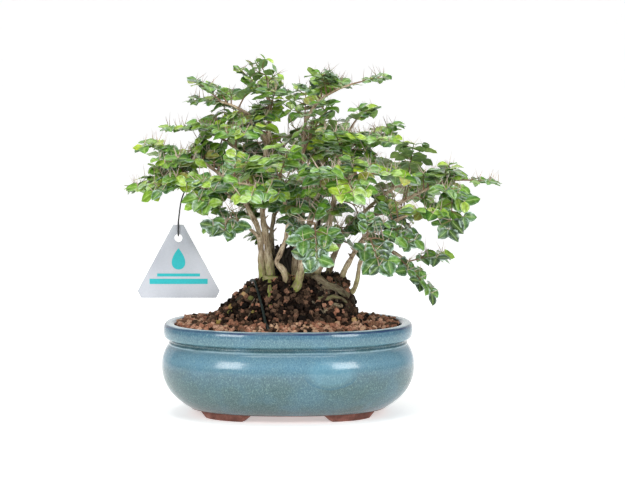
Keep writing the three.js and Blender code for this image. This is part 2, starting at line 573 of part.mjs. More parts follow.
// A square ring round a twig's line
function ringAt({ point, over, across }, half) {
  return [[1, 1], [-1, 1], [-1, -1], [1, -1]].map(([a, o]) =>
    point.clone().addScaledVector(across, a * half).addScaledVector(over, o * half));
}

const boxesNear = (a, b, room) => [0, 1, 2].every((i) => a.min[i] < b.max[i] + room && b.min[i] < a.max[i] + room);
const placed = (solid) => ({ solid, box: solid.boundingBox() });

// Whether a solid keeps its distance from every solid of the other nodes
function isClear({ solid, box }, others) {
  return others.every((other) => !boxesNear(box, other.box, GAP) || solid.minGap(other.solid, GAP) >= GAP * 0.9);
}

const crosses = ({ solid, box }, own) =>
  own.some((other) => boxesNear(box, other.box, 0) && solid.intersect(other.solid).volume() > 1e-4);

const SIDES = { top: 0, left: 1, bottom: 2, right: 3 };

// Grows one twig as rings, and on the faces between a node's two rings whatever is clear of everything else.
// A twig that starts from another twig's face shares that face's four corners.
function growTwig(spray, base, stations, others) {
  const { points, faces, own } = spray;
  const rings = [];
  if (base) rings.push(base);
  for (const { frame, half } of stations) {
    rings.push(ringAt(frame, half).map((point) => points.push(point) - 1));
  }
  const offset = base ? 1 : 0;
  const quad = ([a, b, c, d]) => faces.push([a, b, c], [a, c, d]);
  const corners = (ids) => ids.map((id) => points[id]);
  const outer = [...rings].flatMap(corners);
  const alone = [];
  for (let i = 0; i + 1 < rings.length; i++) {
    for (let k = 0; k < 4; k++) {
      const [a, b, c, d] = [4 * i + k, 4 * i + ((k + 1) % 4), 4 * i + 4 + ((k + 1) % 4), 4 * i + 4 + k];
      alone.push([a, b, c], [a, c, d]);
    }
  }
  const end = outer.length - 4;
  alone.push([end, end + 1, end + 2], [end, end + 2, end + 3], [0, 3, 2], [0, 2, 1]);
  const twigAlone = placed(solidOf(new THREE.BufferGeometry()
    .setAttribute("position", new THREE.BufferAttribute(new Float32Array(outer.flatMap((p) => p.toArray())), 3))
    .setIndex(alone.flat())));
  if (!isClear(twigAlone, others) || crosses(twigAlone, own)) {
    points.length -= 4 * stations.length;
    return false;
  }
  own.push(twigAlone);
  if (!base) {
    const [a, b, c, d] = rings[0];
    quad([a, d, c, b]);
  }
  for (let i = 0; i + 1 < rings.length; i++) {
    const node = stations[i + 1 - offset].node;
    for (let k = 0; k < 4; k++) {
      const next = (k + 1) % 4;
      let ids = [rings[i][k], rings[i][next], rings[i + 1][next], rings[i + 1][k]];
      // Turned so that corners 0 and 1 are the upper edge
      if (k === SIDES.right) ids = [ids[1], ids[2], ids[3], ids[0]];
      if (k === SIDES.left) ids = [ids[3], ids[0], ids[1], ids[2]];
      if (!node || !growOn(spray, node, k, ids, others)) quad(ids);
    }
  }
  quad(rings[rings.length - 1]);
  return true;
}

function growOn(spray, node, k, ids, others) {
  const { points, faces, own } = spray;
  const corners = ids.map((id) => points[id]);
  const hand = k === SIDES.right ? 1 : k === SIDES.left ? -1 : 0;
  if (node.side && node.side.hand === hand && spray.sides < spray.kept.sideTwigs) {
    if (growTwig(spray, ids, sideStations(node.side), others)) {
      spray.sides += 1;
      return true;
    }
  }
  let growth = null;
  if (hand) growth = blade(corners, node.leaves.find((leaf) => leaf.hand === hand));
  else if (k === SIDES.top && spray.spines < spray.kept.spines) growth = spike(corners, node.spine);
  if (!growth) return false;
  const alone = placed(aloneSolid(corners, growth));
  if (!isClear(alone, others) || crosses(alone, own)) return false;
  own.push(alone);
  if (hand) spray.leaves += 1;
  else spray.spines += 1;
  const all = [...ids, ...growth.points.map((point) => points.push(point) - 1)];
  faces.push(...growth.faces.map((face) => face.map((corner) => all[corner])));
  return true;
}

// Stations of a twig's rings: a node has one ring on each side of it, and carries its growth between them
function nodeStations(frameAt, length, nodes, halfAt) {
  const shift = SPRAY.nodeLength / 2 / length;
  return nodes.flatMap((node) => {
    const share = Math.min(node.share, 1 - shift);
    return [
      { frame: frameAt(share - shift), half: halfAt(share - shift) },
      { frame: frameAt(share + shift), half: halfAt(share + shift), node },
    ];
  });
}

function sideStations({ way, reach, nodes }) {
  const first = nodes[0].frame;
  const root = first.point.clone().addScaledVector(way, -reach * nodes[0].share);
  const frameAt = (share) => ({ ...first, point: root.clone().addScaledVector(way, reach * share) });
  const halfAt = (share) => SPRAY.sideHalf + (SPRAY.tipHalf - SPRAY.sideHalf) * share;
  return nodeStations(frameAt, reach, nodes.slice(-KEPT.sideNodes), halfAt);
}

// About that many of the nodes, evenly spread and always with the one at the tip
function evenlyFromTip(nodes, count) {
  const last = nodes.length - 1;
  const step = Math.max(1, last / (count - 1 + 0.001));
  return nodes.filter((_, i) => Math.round(Math.round((last - i) / step) * step) === last - i);
}

// The main twig starts as near to its branch as leaves it clear.
function spraySolid(name, index, others) {
  const { twig, upward, nodes } = sprayPlan(name, index);
  const length = twig.getLength();
  const frameAt = (share) => crossFrame(twig.getPoint(share), twig.getTangent(share), upward);
  const halfAt = (share) => SPRAY.twigHalf + (SPRAY.tipHalf - SPRAY.twigHalf) * share;
  const kept = SPRAYS[name].kept ?? KEPT;
  const chosen = evenlyFromTip(nodes, kept.nodes);
  for (let skipped = SPRAY.firstSkip; skipped <= SPRAY.lastSkip; skipped += SPRAY.skipStep) {
    const from = skipped / length;
    const stations = [
      { frame: frameAt(from), half: halfAt(from) },
      ...nodeStations(frameAt, length, chosen, halfAt),
    ];
    const spray = { points: [], faces: [], own: [], kept, leaves: 0, spines: 0, sides: 0 };
    if (!growTwig(spray, null, stations, others)) continue;
    if (spray.leaves < kept.leastLeaves) console.warn(name + ": only " + spray.leaves + " leaves are clear");
    const positions = spray.points.flatMap((point) => point.toArray());
    return solidOf(new THREE.BufferGeometry()
      .setAttribute("position", new THREE.BufferAttribute(new Float32Array(positions), 3))
      .setIndex(spray.faces.flat()));
  }
  throw new Error(name + ": its twig meets another node");
}

// Anchor wire: over the mound from the front of the pot to the back, with both ends in the soil
function anchorPoints() {
  const route = ANCHOR.route.map(([x, y, lift]) => [x, y, soilHeight(x, y) + ANCHOR.radius + lift]);
  const [first, last] = [route[0], route[route.length - 1]];
  route.unshift([first[0], first[1] - 1, first[2] - ANCHOR.bury]);
  route.push([last[0], last[1] + 1, last[2] - ANCHOR.bury]);
  return curveThrough(route).getPoints(ANCHOR.steps);
}

const anchorSolid = (grow) => limb(anchorPoints(), () => ANCHOR.radius, ANCHOR.sides, grow);

// Tag: a plate with cut corners and a hole, hung in a loop of wire
function tagSolid() {
  const [x, y, z] = TAG.centre;
  const w = TAG.width / 2;
  const h = TAG.height / 2;
  const plate = new THREE.Shape([
    new THREE.Vector2(-TAG.topWidth / 2, h), new THREE.Vector2(-w, -h + TAG.cornerRise),
    new THREE.Vector2(-w + TAG.cornerInset, -h), new THREE.Vector2(w - TAG.cornerInset, -h),
    new THREE.Vector2(w, -h + TAG.cornerRise), new THREE.Vector2(TAG.topWidth / 2, h),
  ]);
  plate.holes.push(new THREE.Path().absarc(0, h - TAG.holeDrop, TAG.holeRadius, 0, 2 * Math.PI, true));
  const sheet = new THREE.ExtrudeGeometry(plate, { depth: TAG.thick, bevelEnabled: false, curveSegments: 5 });
  return solidOf(sheet.rotateX(Math.PI / 2).translate(x, y + TAG.thick / 2, z));
}

function tagWireSolid() {
  const branch = limbCurve(TAG_WIRE.branch);
  const held = branch.getPoint(TAG_WIRE.at);
  const along = branch.getTangent(TAG_WIRE.at);
  const loopRadius = limbRadius(TAG_WIRE.branch, TAG_WIRE.at) * 1.1 + TAG_WIRE.radius + GAP;
  const upperLoop = new THREE.TorusGeometry(loopRadius, TAG_WIRE.radius, TAG_WIRE.sides, 10)
    .applyQuaternion(new THREE.Quaternion().setFromUnitVectors(UP, along))
    .translate(held.x, held.y, held.z);
  const [x, y, z] = TAG.centre;
  const holeTop = z + TAG.height / 2 - TAG.holeDrop + TAG.holeRadius;
  const stripTop = z + TAG.height / 2;
  const depth = TAG.thick / 2 + TAG_WIRE.radius + GAP + 0.5;
  const loopLow = holeTop - 2 * GAP - TAG_WIRE.radius * 1.2;
  const loopHigh = stripTop + 2.5;
  const lowerLoop = new THREE.TorusGeometry(1, TAG_WIRE.radius / depth, TAG_WIRE.sides, 10).rotateY(Math.PI / 2);
  const loopHalf = (loopHigh - loopLow) / 2;
  movePoints(lowerLoop, (point) => {
    const ringY = point.y / Math.max(1e-6, Math.hypot(point.y, point.z));
    const ringZ = point.z / Math.max(1e-6, Math.hypot(point.y, point.z));
    const proud = (Math.hypot(point.y, point.z) - 1) * depth;
    point.x *= depth;
    point.y = ringY * (depth + proud);
    point.z = ringZ * (loopHalf + proud);
  });
  lowerLoop.translate(x, y, (loopLow + loopHigh) / 2);
  const hung = held.clone().addScaledVector(UP, -loopRadius);
  const straight = limb(
    curveThrough([hung.toArray(), [x + 2.5, y, (hung.z + loopHigh) / 2 + 2], [x, y, loopHigh]]).getPoints(4),
    () => TAG_WIRE.radius,
    TAG_WIRE.sides,
  );
  return joined([solidOf(upperLoop), solidOf(lowerLoop), straight]);
}

// Assembly
const solids = new Map();
const materials = new Map();
function keep(name, solid, material, smallest = 0.02) {
  solids.set(name, solid.simplify(smallest));
  materials.set(name, material);
}

keep("pot", potSolid(), glazedClay);
keep("drain_mesh_left", drainMesh(-1), blackPlastic);
keep("drain_mesh_right", drainMesh(1), blackPlastic);
keep("wood", joined([rootBase(0), ...stemsAlone(0), ...branchesAlone()]), greyBark, 0.06);
const crownSpace = joined([rootBase(GAP), ...stemsAlone(GAP)]);
keep("anchor_wire", anchorSolid(0).subtract(crownSpace), darkWire);
keep("soil", soilSolid([crownSpace, anchorSolid(GAP), meshPocket(-1), meshPocket(1)]), rustSoil, 0.06);
keep("tag", tagSolid(), frostedPlastic);
keep("tag_wire", tagWireSolid(), darkWire);
Object.keys(SPRAYS).forEach((name, index) => {
  const others = [...solids].filter(([other]) => other !== "pot").map(([, solid]) => placed(solid));
  keep("spray_" + name, spraySolid(name, index, others), glossyLeaf);
});

// The origin is under the middle of the whole object, on the surface that it stands on.
const bonsai = new THREE.Group();
for (const [name, solid] of solids) {
  const mesh = new THREE.Mesh(geometryOf(solid), materials.get(name));
  mesh.name = name;
  bonsai.add(mesh);
}
const bounds = new THREE.Box3().setFromObject(bonsai);
bonsai.position.set(-(bounds.min.x + bounds.max.x) / 2, -(bounds.min.y + bounds.max.y) / 2, -bounds.min.z);

export default bonsai;
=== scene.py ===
"""The finish of a damnacanthus bonsai in an oval glazed pot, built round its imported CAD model.

The script works in millimetres from the middle of the pot, on the surface that its feet stand on, with +Z up
and the viewer on the -Y side. finished() turns that into the frame's metres.
"""
import math
import random
from collections import defaultdict

import bmesh
import bpy
from bpy.props import FloatProperty, FloatVectorProperty, IntProperty, PointerProperty
from mathutils import Matrix, Vector, noise


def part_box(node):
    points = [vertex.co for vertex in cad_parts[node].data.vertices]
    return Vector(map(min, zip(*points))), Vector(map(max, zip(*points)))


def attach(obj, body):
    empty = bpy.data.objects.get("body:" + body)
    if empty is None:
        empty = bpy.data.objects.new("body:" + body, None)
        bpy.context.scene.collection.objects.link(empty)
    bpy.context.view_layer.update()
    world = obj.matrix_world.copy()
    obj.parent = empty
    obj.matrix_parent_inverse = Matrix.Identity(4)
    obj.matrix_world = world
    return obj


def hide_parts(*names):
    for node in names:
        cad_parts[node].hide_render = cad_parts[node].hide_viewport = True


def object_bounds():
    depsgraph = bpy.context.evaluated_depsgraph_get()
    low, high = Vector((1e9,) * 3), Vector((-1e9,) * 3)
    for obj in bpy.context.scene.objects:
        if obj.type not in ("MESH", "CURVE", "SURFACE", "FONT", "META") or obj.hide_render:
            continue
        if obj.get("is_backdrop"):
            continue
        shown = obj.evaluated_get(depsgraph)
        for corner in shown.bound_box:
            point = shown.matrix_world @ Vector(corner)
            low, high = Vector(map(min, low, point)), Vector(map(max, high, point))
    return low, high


bl_info = {
    "name": "Damnacanthus Bonsai",
    "version": (1, 0, 0),
    "blender": (4, 5, 0),
    "location": "3D View > Sidebar > Bonsai",
    "description": "Builds the finish of a damnacanthus bonsai round its CAD model",
    "category": "Object",
}

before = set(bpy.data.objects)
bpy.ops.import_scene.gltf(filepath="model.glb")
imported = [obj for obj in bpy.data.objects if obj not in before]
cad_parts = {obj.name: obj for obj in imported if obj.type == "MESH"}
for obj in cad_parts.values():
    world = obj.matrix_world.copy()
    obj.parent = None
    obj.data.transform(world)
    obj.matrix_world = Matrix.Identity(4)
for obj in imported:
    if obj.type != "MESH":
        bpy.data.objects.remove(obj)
CAD_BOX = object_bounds()

MM = 0.001
FULL_TURN = 2 * math.pi
# mathutils' noise starts from the clock unless it gets a seed, and then the bark differs each time
NOISE_SEED = 7
UP = Vector((0, 0, 1))
POT_LOW, POT_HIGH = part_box("pot")
POT_MIDDLE = Vector(((POT_LOW.x + POT_HIGH.x) / 2, (POT_LOW.y + POT_HIGH.y) / 2, POT_LOW.z))
HOME = Matrix.Translation(POT_MIDDLE) @ Matrix.Scale(MM, 4)
REACH = [HOME.inverted() @ Vector(corner) for corner in CAD_BOX]

# Sizes of the pot and the soil, the same as in the CAD model
HALF_LENGTH = 99.5
HALF_WIDTH = 77
SQUARENESS = 2.3
FOOT_HEIGHT = 6
FLOOR_TOP = 12.5
WALL = 10
LIP = 73.5
DRAIN = {"radius": 7, "offset": 42}
FOOT = {"centre": 47.5, "span": 51, "outer": -22, "inner": -34, "steps": 14, "sink": 3, "taper": 0.36,
        "round": 0.9}
SOIL_EDGE = 71.5
GRANULE_CREASE = 26
# The granules' layers: seed and tries of their places, spacing and range of sizes as shares of the mean size
LAYERS = {
    "bed_granules": {"seed": 5, "tries": 26000, "spacing": 0.8, "sizes": (0.7, 1.35)},
    "mound_crumbs": {"seed": 6, "tries": 40000, "spacing": 0.74, "sizes": (0.5, 1.5)},
}
MOUND = {"centre": 8, "left": 76, "right": 47, "depth": 50, "rise": 36, "slope": 0.62, "right_slope": 0.22,
         "rounding": 0.3}

# The pot's outline as [offset from the rim's outline, height], from the middle of its underside up to the lip
OUTSIDE = [(-HALF_LENGTH, 6), (-60, 6), (-24, 6), (-20.5, 6.3), (-15, 9.7), (-8, 15.6), (-3.3, 21.5),
           (0, 28.4),
           (1.5, 35), (1.7, 40), (1.2, 45.5), (-0.6, 50.8), (-2.7, 54.6), (-4.2, 56.3), (-4.1, 57.1),
           (-4.2, 57.8), (-5, 58.4), (-5.2, 59.4), (-4.4, 60.5), (-2.4, 61.2), (-0.9, 62.4), (-0.2, 64.6),
           (0.2, 67.6), (-0.1, 70.4), (-0.9, 72.5), (-2.3, 73.4)]
INSIDE = [(-4.6, 73.5), (-7, 73.2), (-8.8, 72), (-9.7, 70), (-10, 66), (-10, 44), (-14, 24), (-20, 15.5),
          (-27, FLOOR_TOP), (-60, FLOOR_TOP), (-HALF_LENGTH, FLOOR_TOP)]

# Stems from the root crown upwards: radius at both ends, then points
STEMS = {
    "far_left": (3.0, 1.5, [(-18, -5, 93), (-21, -6, 120), (-22, -7, 140), (-26, -8, 154), (-36, -10, 172),
                            (-46, -10, 186)]),
    "leader": (3.0, 1.2, [(-11, -7, 93), (-15, -9, 122), (-17.5, -8, 142), (-20, -6, 158), (-21, -2, 185),
                          (-17, 2, 215), (-14, 3, 242), (-17, 2, 256)]),
    "left_back": (2.2, 1.2, [(-7, 6, 93), (-12, 9, 126), (-13.5, 11, 145), (-9, 18, 170), (-6, 28, 195),
                             (-4, 38, 214)]),
    "crooked": (2.4, 1.2, [(0, -16, 93), (-2.5, -20, 114), (-8.5, -22, 122.5), (-5, -24, 132), (-1, -26, 144),
                           (0, -29, 158), (-3, -36, 175), (-6, -46, 190)]),
    "centre": (2.8, 1.3, [(5, 2, 94), (6, 2, 126), (8, 1, 145), (11, 0, 158), (13, -1, 182), (12, -2, 210),
                          (14, 0, 236)]),
    "front": (3.5, 1.5, [(3, -20, 92), (8, -26, 107), (11, -26, 119), (12, -26, 130), (14, -27, 144),
                         (20, -32, 166), (26, -42, 182)]),
    "shaded": (2.6, 1.3, [(12, 13, 93), (19, 20, 122), (22, 23, 140), (26, 31, 162), (24, 42, 185),
                          (20, 50, 205)]),
    "stout": (3.3, 1.4, [(18, -8, 93), (23, -10, 114), (27.5, -11, 124), (31, -12, 140), (34, -12, 158),
                         (38, -10, 180), (41, -8, 203), (47, -6, 222)]),
    "right_back": (2.5, 1.3, [(27, 7, 92), (34, 13, 117), (39, 15, 130), (46, 16, 145), (57, 14, 156),
                              (78, 12, 160), (98, 10, 165)]),
    "right": (2.4, 1.2, [(37, -2, 92), (44, -3, 112), (49, -4, 122), (54, -6, 131), (62, -12, 143),
                         (78, -18, 152), (94, -22, 160)]),
    "far_right": (2.1, 1.0, [(42, -3, 92), (50, -5, 97), (54, -5, 103), (56, -6, 113), (57.5, -7, 121),
                             (61, -9, 129), (68, -10, 135), (80, -8, 132), (96, -6, 122)]),
}
BRANCHES = {
    "left_low": (1.6, 1.0, [(-35, -10, 170), (-58, -13, 178), (-82, -15, 187), (-100, -10, 184)]),
    "left_mid": (1.5, 0.9, [(-45, -10, 184), (-64, -8, 199), (-84, -4, 208)]),
    "left_top": (1.5, 0.9, [(-17, 2, 216), (-28, -1, 236), (-42, -4, 245), (-53, -4, 249)]),
    "left_high": (1.5, 0.9, [(-21, -2, 186), (-36, 4, 206), (-52, 8, 219), (-67, 12, 226)]),
    "low_left": (1.4, 0.9, [(-22, -7, 141), (-34, -22, 152), (-46, -36, 158)]),
    "front_left": (1.4, 0.9, [(-3, -36, 175), (-22, -46, 183), (-42, -56, 188)]),
    "front_low": (1.4, 0.9, [(14, -28, 146), (17, -43, 153), (21, -58, 156)]),
    "front_right": (1.4, 0.9, [(25, -41, 181), (42, -56, 190), (60, -66, 194)]),
    "top_right": (1.4, 0.8, [(14, 0, 234), (24, -4, 249), (38, -8, 258), (51, -8, 263)]),
    "right_high": (1.4, 0.8, [(45, -6, 219), (48, -9, 225), (50, -12, 229)]),
    "right_shoulder": (1.4, 0.9, [(41, -8, 203), (50, -3, 213), (60, 2, 220)]),
    "right_long": (1.5, 0.9, [(77, 12, 160), (96, 2, 172), (116, -4, 182), (134, -6, 187)]),
    "right_rear": (1.5, 0.9, [(57, 14, 156), (72, 30, 169), (92, 42, 182), (108, 46, 190)]),
    "right_front": (1.3, 0.9, [(54, -6, 131), (60, -24, 140), (64, -42, 143)]),
    "back_left": (1.4, 0.9, [(-6, 28, 195), (-26, 44, 201), (-48, 56, 205)]),
    "back_right": (1.4, 0.9, [(24, 42, 185), (44, 58, 193), (64, 68, 197)]),
    "back_centre": (1.3, 0.9, [(20, 50, 204), (12, 66, 210), (2, 80, 207)]),
}
ROOTS = [
    (3.0, 1.3, [(-15, -5, 99), (-29, -11, 101), (-42, -13, 91), (-54, -12, 80)]),
    (3.8, 2.4, [(20, -6, 100), (34, -10, 107), (46, -8, 101), (52, -3, 88)]),
    (2.4, 1.4, [(13, -13, 97), (23, -25, 102), (34, -29, 94), (43, -27, 82)]),
    (2.6, 1.3, [(12, 10, 97), (16, 24, 102), (20, 37, 87), (22, 46, 76)]),
]
# Thin roots that hang between the stems: where they start and end, as (x, y, z), and how far they spread
ROOT_MASSES = [
    {"count": 40, "top": (-1, 6, 129), "foot": (-1, 2, 98), "spread": (9, 5, 10), "foot_spread": (14, 7, 4),
     "thick": (0.7, 1.7)},
    {"count": 22, "top": (19, 2, 121), "foot": (20, -1, 98), "spread": (6, 4, 8), "foot_spread": (10, 6, 4),
     "thick": (0.7, 1.6)},
    {"count": 12, "top": (33, -8, 113), "foot": (25, -9, 104), "spread": (7, 4, 3), "foot_spread": (6, 5, 3),
     "thick": (0.4, 0.8)},
]
# Roots that lie on the mound: radius at both ends, tone, algae, then (x, y, height over the soil)
SHOULDER_ROOTS = [
    (3.7, 2.6, 0.66, 0.25, [(17, -4, 0.5), (23, -21, 1.2), (31, -26, 1.6), (39, -24, 1.6), (47, -13, 0.6)]),
    (1.8, 1.2, 0.55, 0.4, [(24, -30, 0.4), (30, -30, 1), (36, -28, 1.2), (42, -24, 1), (46, -19, 0.8),
                           (48, -17, 0)]),
    (1.9, 1.0, 0.5, 0.1, [(42, -26, 0.4), (35, -31, 1), (29, -35, 0.4)]),
    (1.9, 1.2, 0.05, 0.9, [(-14, -8, 0.5), (-14, -18, 0.9), (-14.5, -24, 0.8), (-14, -29, 0.5),
                           (-13, -33, -0.6)]),
    (2.3, 1.4, 0.1, 0.9, [(-20, -8, 1), (-15, -13, 1.6), (-8, -13, 0.6)]),
    (1.2, 0.7, 0.75, 0, [(18, -30, 0.2), (24, -34, 0.6), (31, -36, 0.4), (37, -35, 0)]),
    (1.0, 0.6, 0.7, 0, [(14, -34, 0.2), (21, -38, 0.7), (29, -39, 0.2)]),
    (1.1, 0.6, 0.8, 0, [(30, -24, 0.5), (36, -33, 0.8), (44, -30, 0.6), (48, -25, 0)]),
]
# Finer ones that wander down the mound's right shoulder from the foot of the stems
ROOTSTOCK = {"count": 8, "centre": (28, -9), "spread": (8, 7), "turn": (-75, 40), "reach": (16, 32),
             "thick": (0.6, 1.3), "step": 2.4, "tones": (0.6, 0.9)}
ROOT_SINK = 2.4
# Thin roots scattered over the mound
ROOTLET = {"reach": (12, 34), "thick": (0.35, 0.9), "tone": 0.65}
# How dark a stem in the shade is, and the algae on stems: full up to one height, none over another, strength
STEM_TONES = {"shaded": 0.92, "left_back": 0.4, "centre": 0.3, "front": 0.2, "right_back": 0.25,
              "crooked": 0.1}
ALGAE = {"far_left": (110, 130, 0.9), "leader": (110, 130, 0.9), "front": (105, 124, 1.0),
         "stout": (104, 120, 0.8),
         "others": (104, 124, 0.5)}
STUBS = {"per_stem": 3, "long": (2.5, 7), "thick": (0.5, 0.9), "low": 112, "high": 160}

# Sprays: the limb each grows from, at which share of it, its tip, its longest side twig, its longest leaf and
# how far its middle is pushed
SPRAYS = {
    "left_far_low": ("left_low", 1, (-128, -8, 180), 20, 16, (0, 0, 3)),
    "left_low_near": ("left_low", 0.42, (-70, -40, 170), 20, 17, (0, 0, 5)),
    "left_low_far": ("left_low", 0.8, (-104, -38, 179), 18, 16, (0, 0, 4)),
    "left_far_mid": ("left_mid", 1, (-114, -2, 214), 20, 16, (0, 0, 3)),
    "left_mid_front": ("left_mid", 0.6, (-95, -36, 201), 19, 16, (0, 0, 4)),
    "left_mid_back": ("left_mid", 0.75, (-100, 32, 204), 20, 16, (0, 0, 4)),
    "left_top": ("left_top", 1, (-73, -9, 265), 16, 14, (0, 0, 2)),
    "left_top_back": ("left_top", 0.72, (-76, 18, 250), 16, 14, (0, 0, 4)),
    "left_high": ("left_high", 1, (-96, 14, 228), 17, 15, (0, 0, 3)),
    "left_high_front": ("left_high", 0.62, (-66, -28, 230), 17, 15, (0, 0, 4)),
    "crown_left": ("leader", 0.94, (-37, 9, 274), 14, 13, (-3, 0, 3)),
    "crown_top": ("leader", 0.97, (-24, -6, 280), 18, 13, (6, 0, 4)),
    "crown_front": ("leader", 0.86, (-9, -31, 257), 17, 14, (0, 0, 4)),
    "top_right_long": ("top_right", 1, (76, -6, 268), 12, 12, (0, 0, 1)),
    "top_right_pad": ("top_right", 0.5, (26, -27, 271), 17, 14, (0, 0, 4)),
    "top_right_back": ("top_right", 0.7, (44, 22, 262), 17, 14, (0, 0, 4)),
    "top_middle": ("centre", 0.95, (14, 32, 258), 17, 14, (0, 0, 4)),
    "right_high": ("right_high", 1, (62, -22, 243), 17, 14, (0, 0, 3)),
    "right_shoulder": ("right_shoulder", 1, (85, 8, 230), 18, 15, (0, 0, 3)),
    "right_shoulder_front": ("right_shoulder", 0.62, (79, -34, 218), 18, 16, (0, 0, 4)),
    "right_shoulder_back": ("right_shoulder", 0.8, (82, 36, 222), 18, 15, (0, 0, 4)),
    "right_crest": ("right_rear", 0.8, (101, 14, 215), 18, 15, (0, 0, 5)),
    "right_long": ("right_long", 1, (167, -6, 185), 14, 14, (0, 0, 1)),
    "right_long_front": ("right_long", 0.62, (132, -40, 178), 19, 17, (0, 0, 4)),
    "right_drop": ("right_long", 0.9, (126, -26, 149), 15, 18, (5, 0, 3)),
    "right_near": ("right", 1, (112, -50, 163), 19, 17, (0, 0, 4)),
    "right_low": ("right", 0.84, (94, -34, 139), 17, 17, (0, 0, 2)),
    "low_right": ("far_right", 1, (124, -4, 126), 14, 15, (0, 0, 2)),
    "low_right_drop": ("far_right", 0.86, (113, -26, 99), 11, 16, (2, -4, 3)),
    "right_rear": ("right_rear", 1, (138, 52, 188), 19, 16, (0, 0, 3)),
    "right_rear_low": ("right_rear", 0.6, (112, 70, 170), 19, 16, (0, 0, 4)),
    "front_right": ("front_right", 1, (88, -86, 191), 19, 17, (0, 0, 3)),
    "front_right_near": ("front_right", 0.6, (50, -92, 178), 19, 17, (0, 0, 5)),
    "front_left": ("front_left", 1, (-68, -80, 189), 19, 16, (0, 0, 3)),
    "front_left_near": ("front_left", 0.5, (-26, -88, 178), 19, 16, (0, 0, 5)),
    "front_middle": ("crooked", 1, (2, -76, 212), 19, 16, (0, 0, 4)),
    "front_upper": ("stout", 0.9, (36, -58, 225), 19, 15, (0, 0, 5)),
    "front_centre": ("front", 1, (24, -98, 199), 19, 17, (0, 0, 5)),
    "front_high_left": ("leader", 0.76, (-46, -46, 224), 19, 16, (0, 0, 5)),
    "centre_high": ("centre", 0.82, (31, -34, 246), 18, 15, (0, 0, 4)),
    "front_low_left": ("low_left", 1, (-48, -56, 150), 15, 18, (0, 0, 3)),
    "front_low": ("front_low", 1, (23, -84, 131), 14, 20, (0, 0, 4)),
    "front_low_right": ("right_front", 1, (70, -68, 124), 14, 20, (0, 0, 4)),
    "back_left": ("back_left", 1, (-78, 74, 199), 20, 16, (0, 0, 3)),
    "back_left_low": ("back_left", 0.6, (-44, 88, 174), 20, 16, (0, 0, 5)),
    "back_left_high": ("left_back", 1, (-34, 52, 234), 19, 15, (0, 0, 5)),
    "back_centre": ("back_centre", 1, (-6, 108, 196), 20, 16, (0, 0, 4)),
    "back_high": ("shaded", 0.93, (40, 62, 233), 19, 15, (0, 0, 5)),
    "back_right": ("back_right", 1, (92, 90, 194), 20, 16, (0, 0, 4)),
    "back_right_low": ("back_right", 0.45, (48, 98, 172), 19, 16, (0, 0, 5)),
    "inner_right": ("centre", 0.5, (26, 34, 214), 24, 16, (4, 8, -4)),
    "inner_left": ("left_back", 0.4, (-54, 8, 196), 24, 16, (0, 6, 0)),
}
SPRAY = {"seed": 500, "pitch": 8, "bare": 0.12, "twig": 0.7, "side": 0.5, "tip": 0.32}
SHOOT = {"pitch": 5, "lowest": 130, "rise": 6, "reach": (10, 24), "leaf": (13, 17)}
# Inside this reach of the canopy's middle, some shoots are bare and keep only their spines
INNER = {"reach": 84, "share": 0.42, "spine": 1.6}
# The canopy's lower and upper limits at places along its width, which shoots keep to
CANOPY_LIMITS = [(-135, 170, 190), (-118, 166, 222), (-100, 162, 232), (-86, 162, 262), (-60, 150, 270),
                 (-45, 152, 262), (-32, 164, 283), (-16, 166, 278), (-3, 163, 258), (10, 146, 268),
                 (40, 138, 272),
                 (55, 138, 256), (66, 138, 243), (90, 140, 236), (106, 142, 228), (122, 148, 212),
                 (138, 150, 194), (175, 172, 190)]
# How yellow leaves are, from 0 to 1: in the canopy's middle, how much more outside, how much less on the
# right and on top, how yellow the old ones low in front are, and how much all of them vary. The darker
# green in the canopy's middle stands for older leaves and is also painted shade
TONE = {"inside": 0.2, "outside": 0.22, "right": 0.07, "top": 0.07, "low_front": 0.17, "spread": 0.17}
LOW_LEAVES = 162
# How far leaves turn to the light, forwards on the front side and backwards behind
LIGHT_LEAN = 0.9
# A gap of open sky between two layers: its middle's x and z, and half its width and height
SKY_GAP = {"x": 12, "z": 245, "wide": 20, "tall": 9}
# Behind this depth the canopy hangs lower by so much
BACK_FROM = 6
BACK_DROP = 32
CANOPY = Vector((15, 0, 150))
CANOPY_HALF = (130, 85, 75)
BOX_ROOM = 1.4
# The length of blade that the leaf's thickness is given for
LEAF_LENGTH = 14

# The anchor wire's route as (x, y, height of its underside over the soil)
ANCHOR = {"radius": 1.1, "bury": 9, "clear": 3.5, "route": [
    (-15, -54, 1.3), (-17, -44, 1.4), (-20, -33, 1.4), (-24, -20, 2), (-27, -10, 3.6), (-31, 5, 1.8),
    (-35, 22, 1.3), (-38, 38, 1.3), (-38, 50, 1.3)]}
TAG = {"centre": (-86.5, -16, 123), "width": 65, "height": 58, "top": 8, "corner_rise": 5.5,
       "corner_inset": 2.8,
       "thick": 0.8, "hole": 3.2, "hole_drop": 10.5}
# The print on the tag: the drop's half width, half height and lift, and each bar's width, height and lift
PRINT = {"off": 0.06, "thick": 0.1, "drop": (7, 8.5, 2), "bars": ((46, 4.2, -18), (34, 2.4, -12))}
TAG_WIRE = {"radius": 0.55, "branch": "left_low", "at": 0.62, "clear": 0.35, "seen": 6.5, "seen_to": 181}
# The paper sweep, in metres, and the camera's place
SWEEP = {"half": 4, "flat": 5.6, "bend": 1.2, "back": 4}
VIEWPOINT = Vector((19.5, -1396, 241))


def linear(colour):
    """A colour given as sRGB hex, as the linear RGBA that Blender's sockets take."""
    parts = [int(colour[i:i + 2], 16) / 255 for i in (0, 2, 4)]
    return [p / 12.92 if p <= 0.04045 else ((p + 0.055) / 1.055) ** 2.4 for p in parts] + [1]


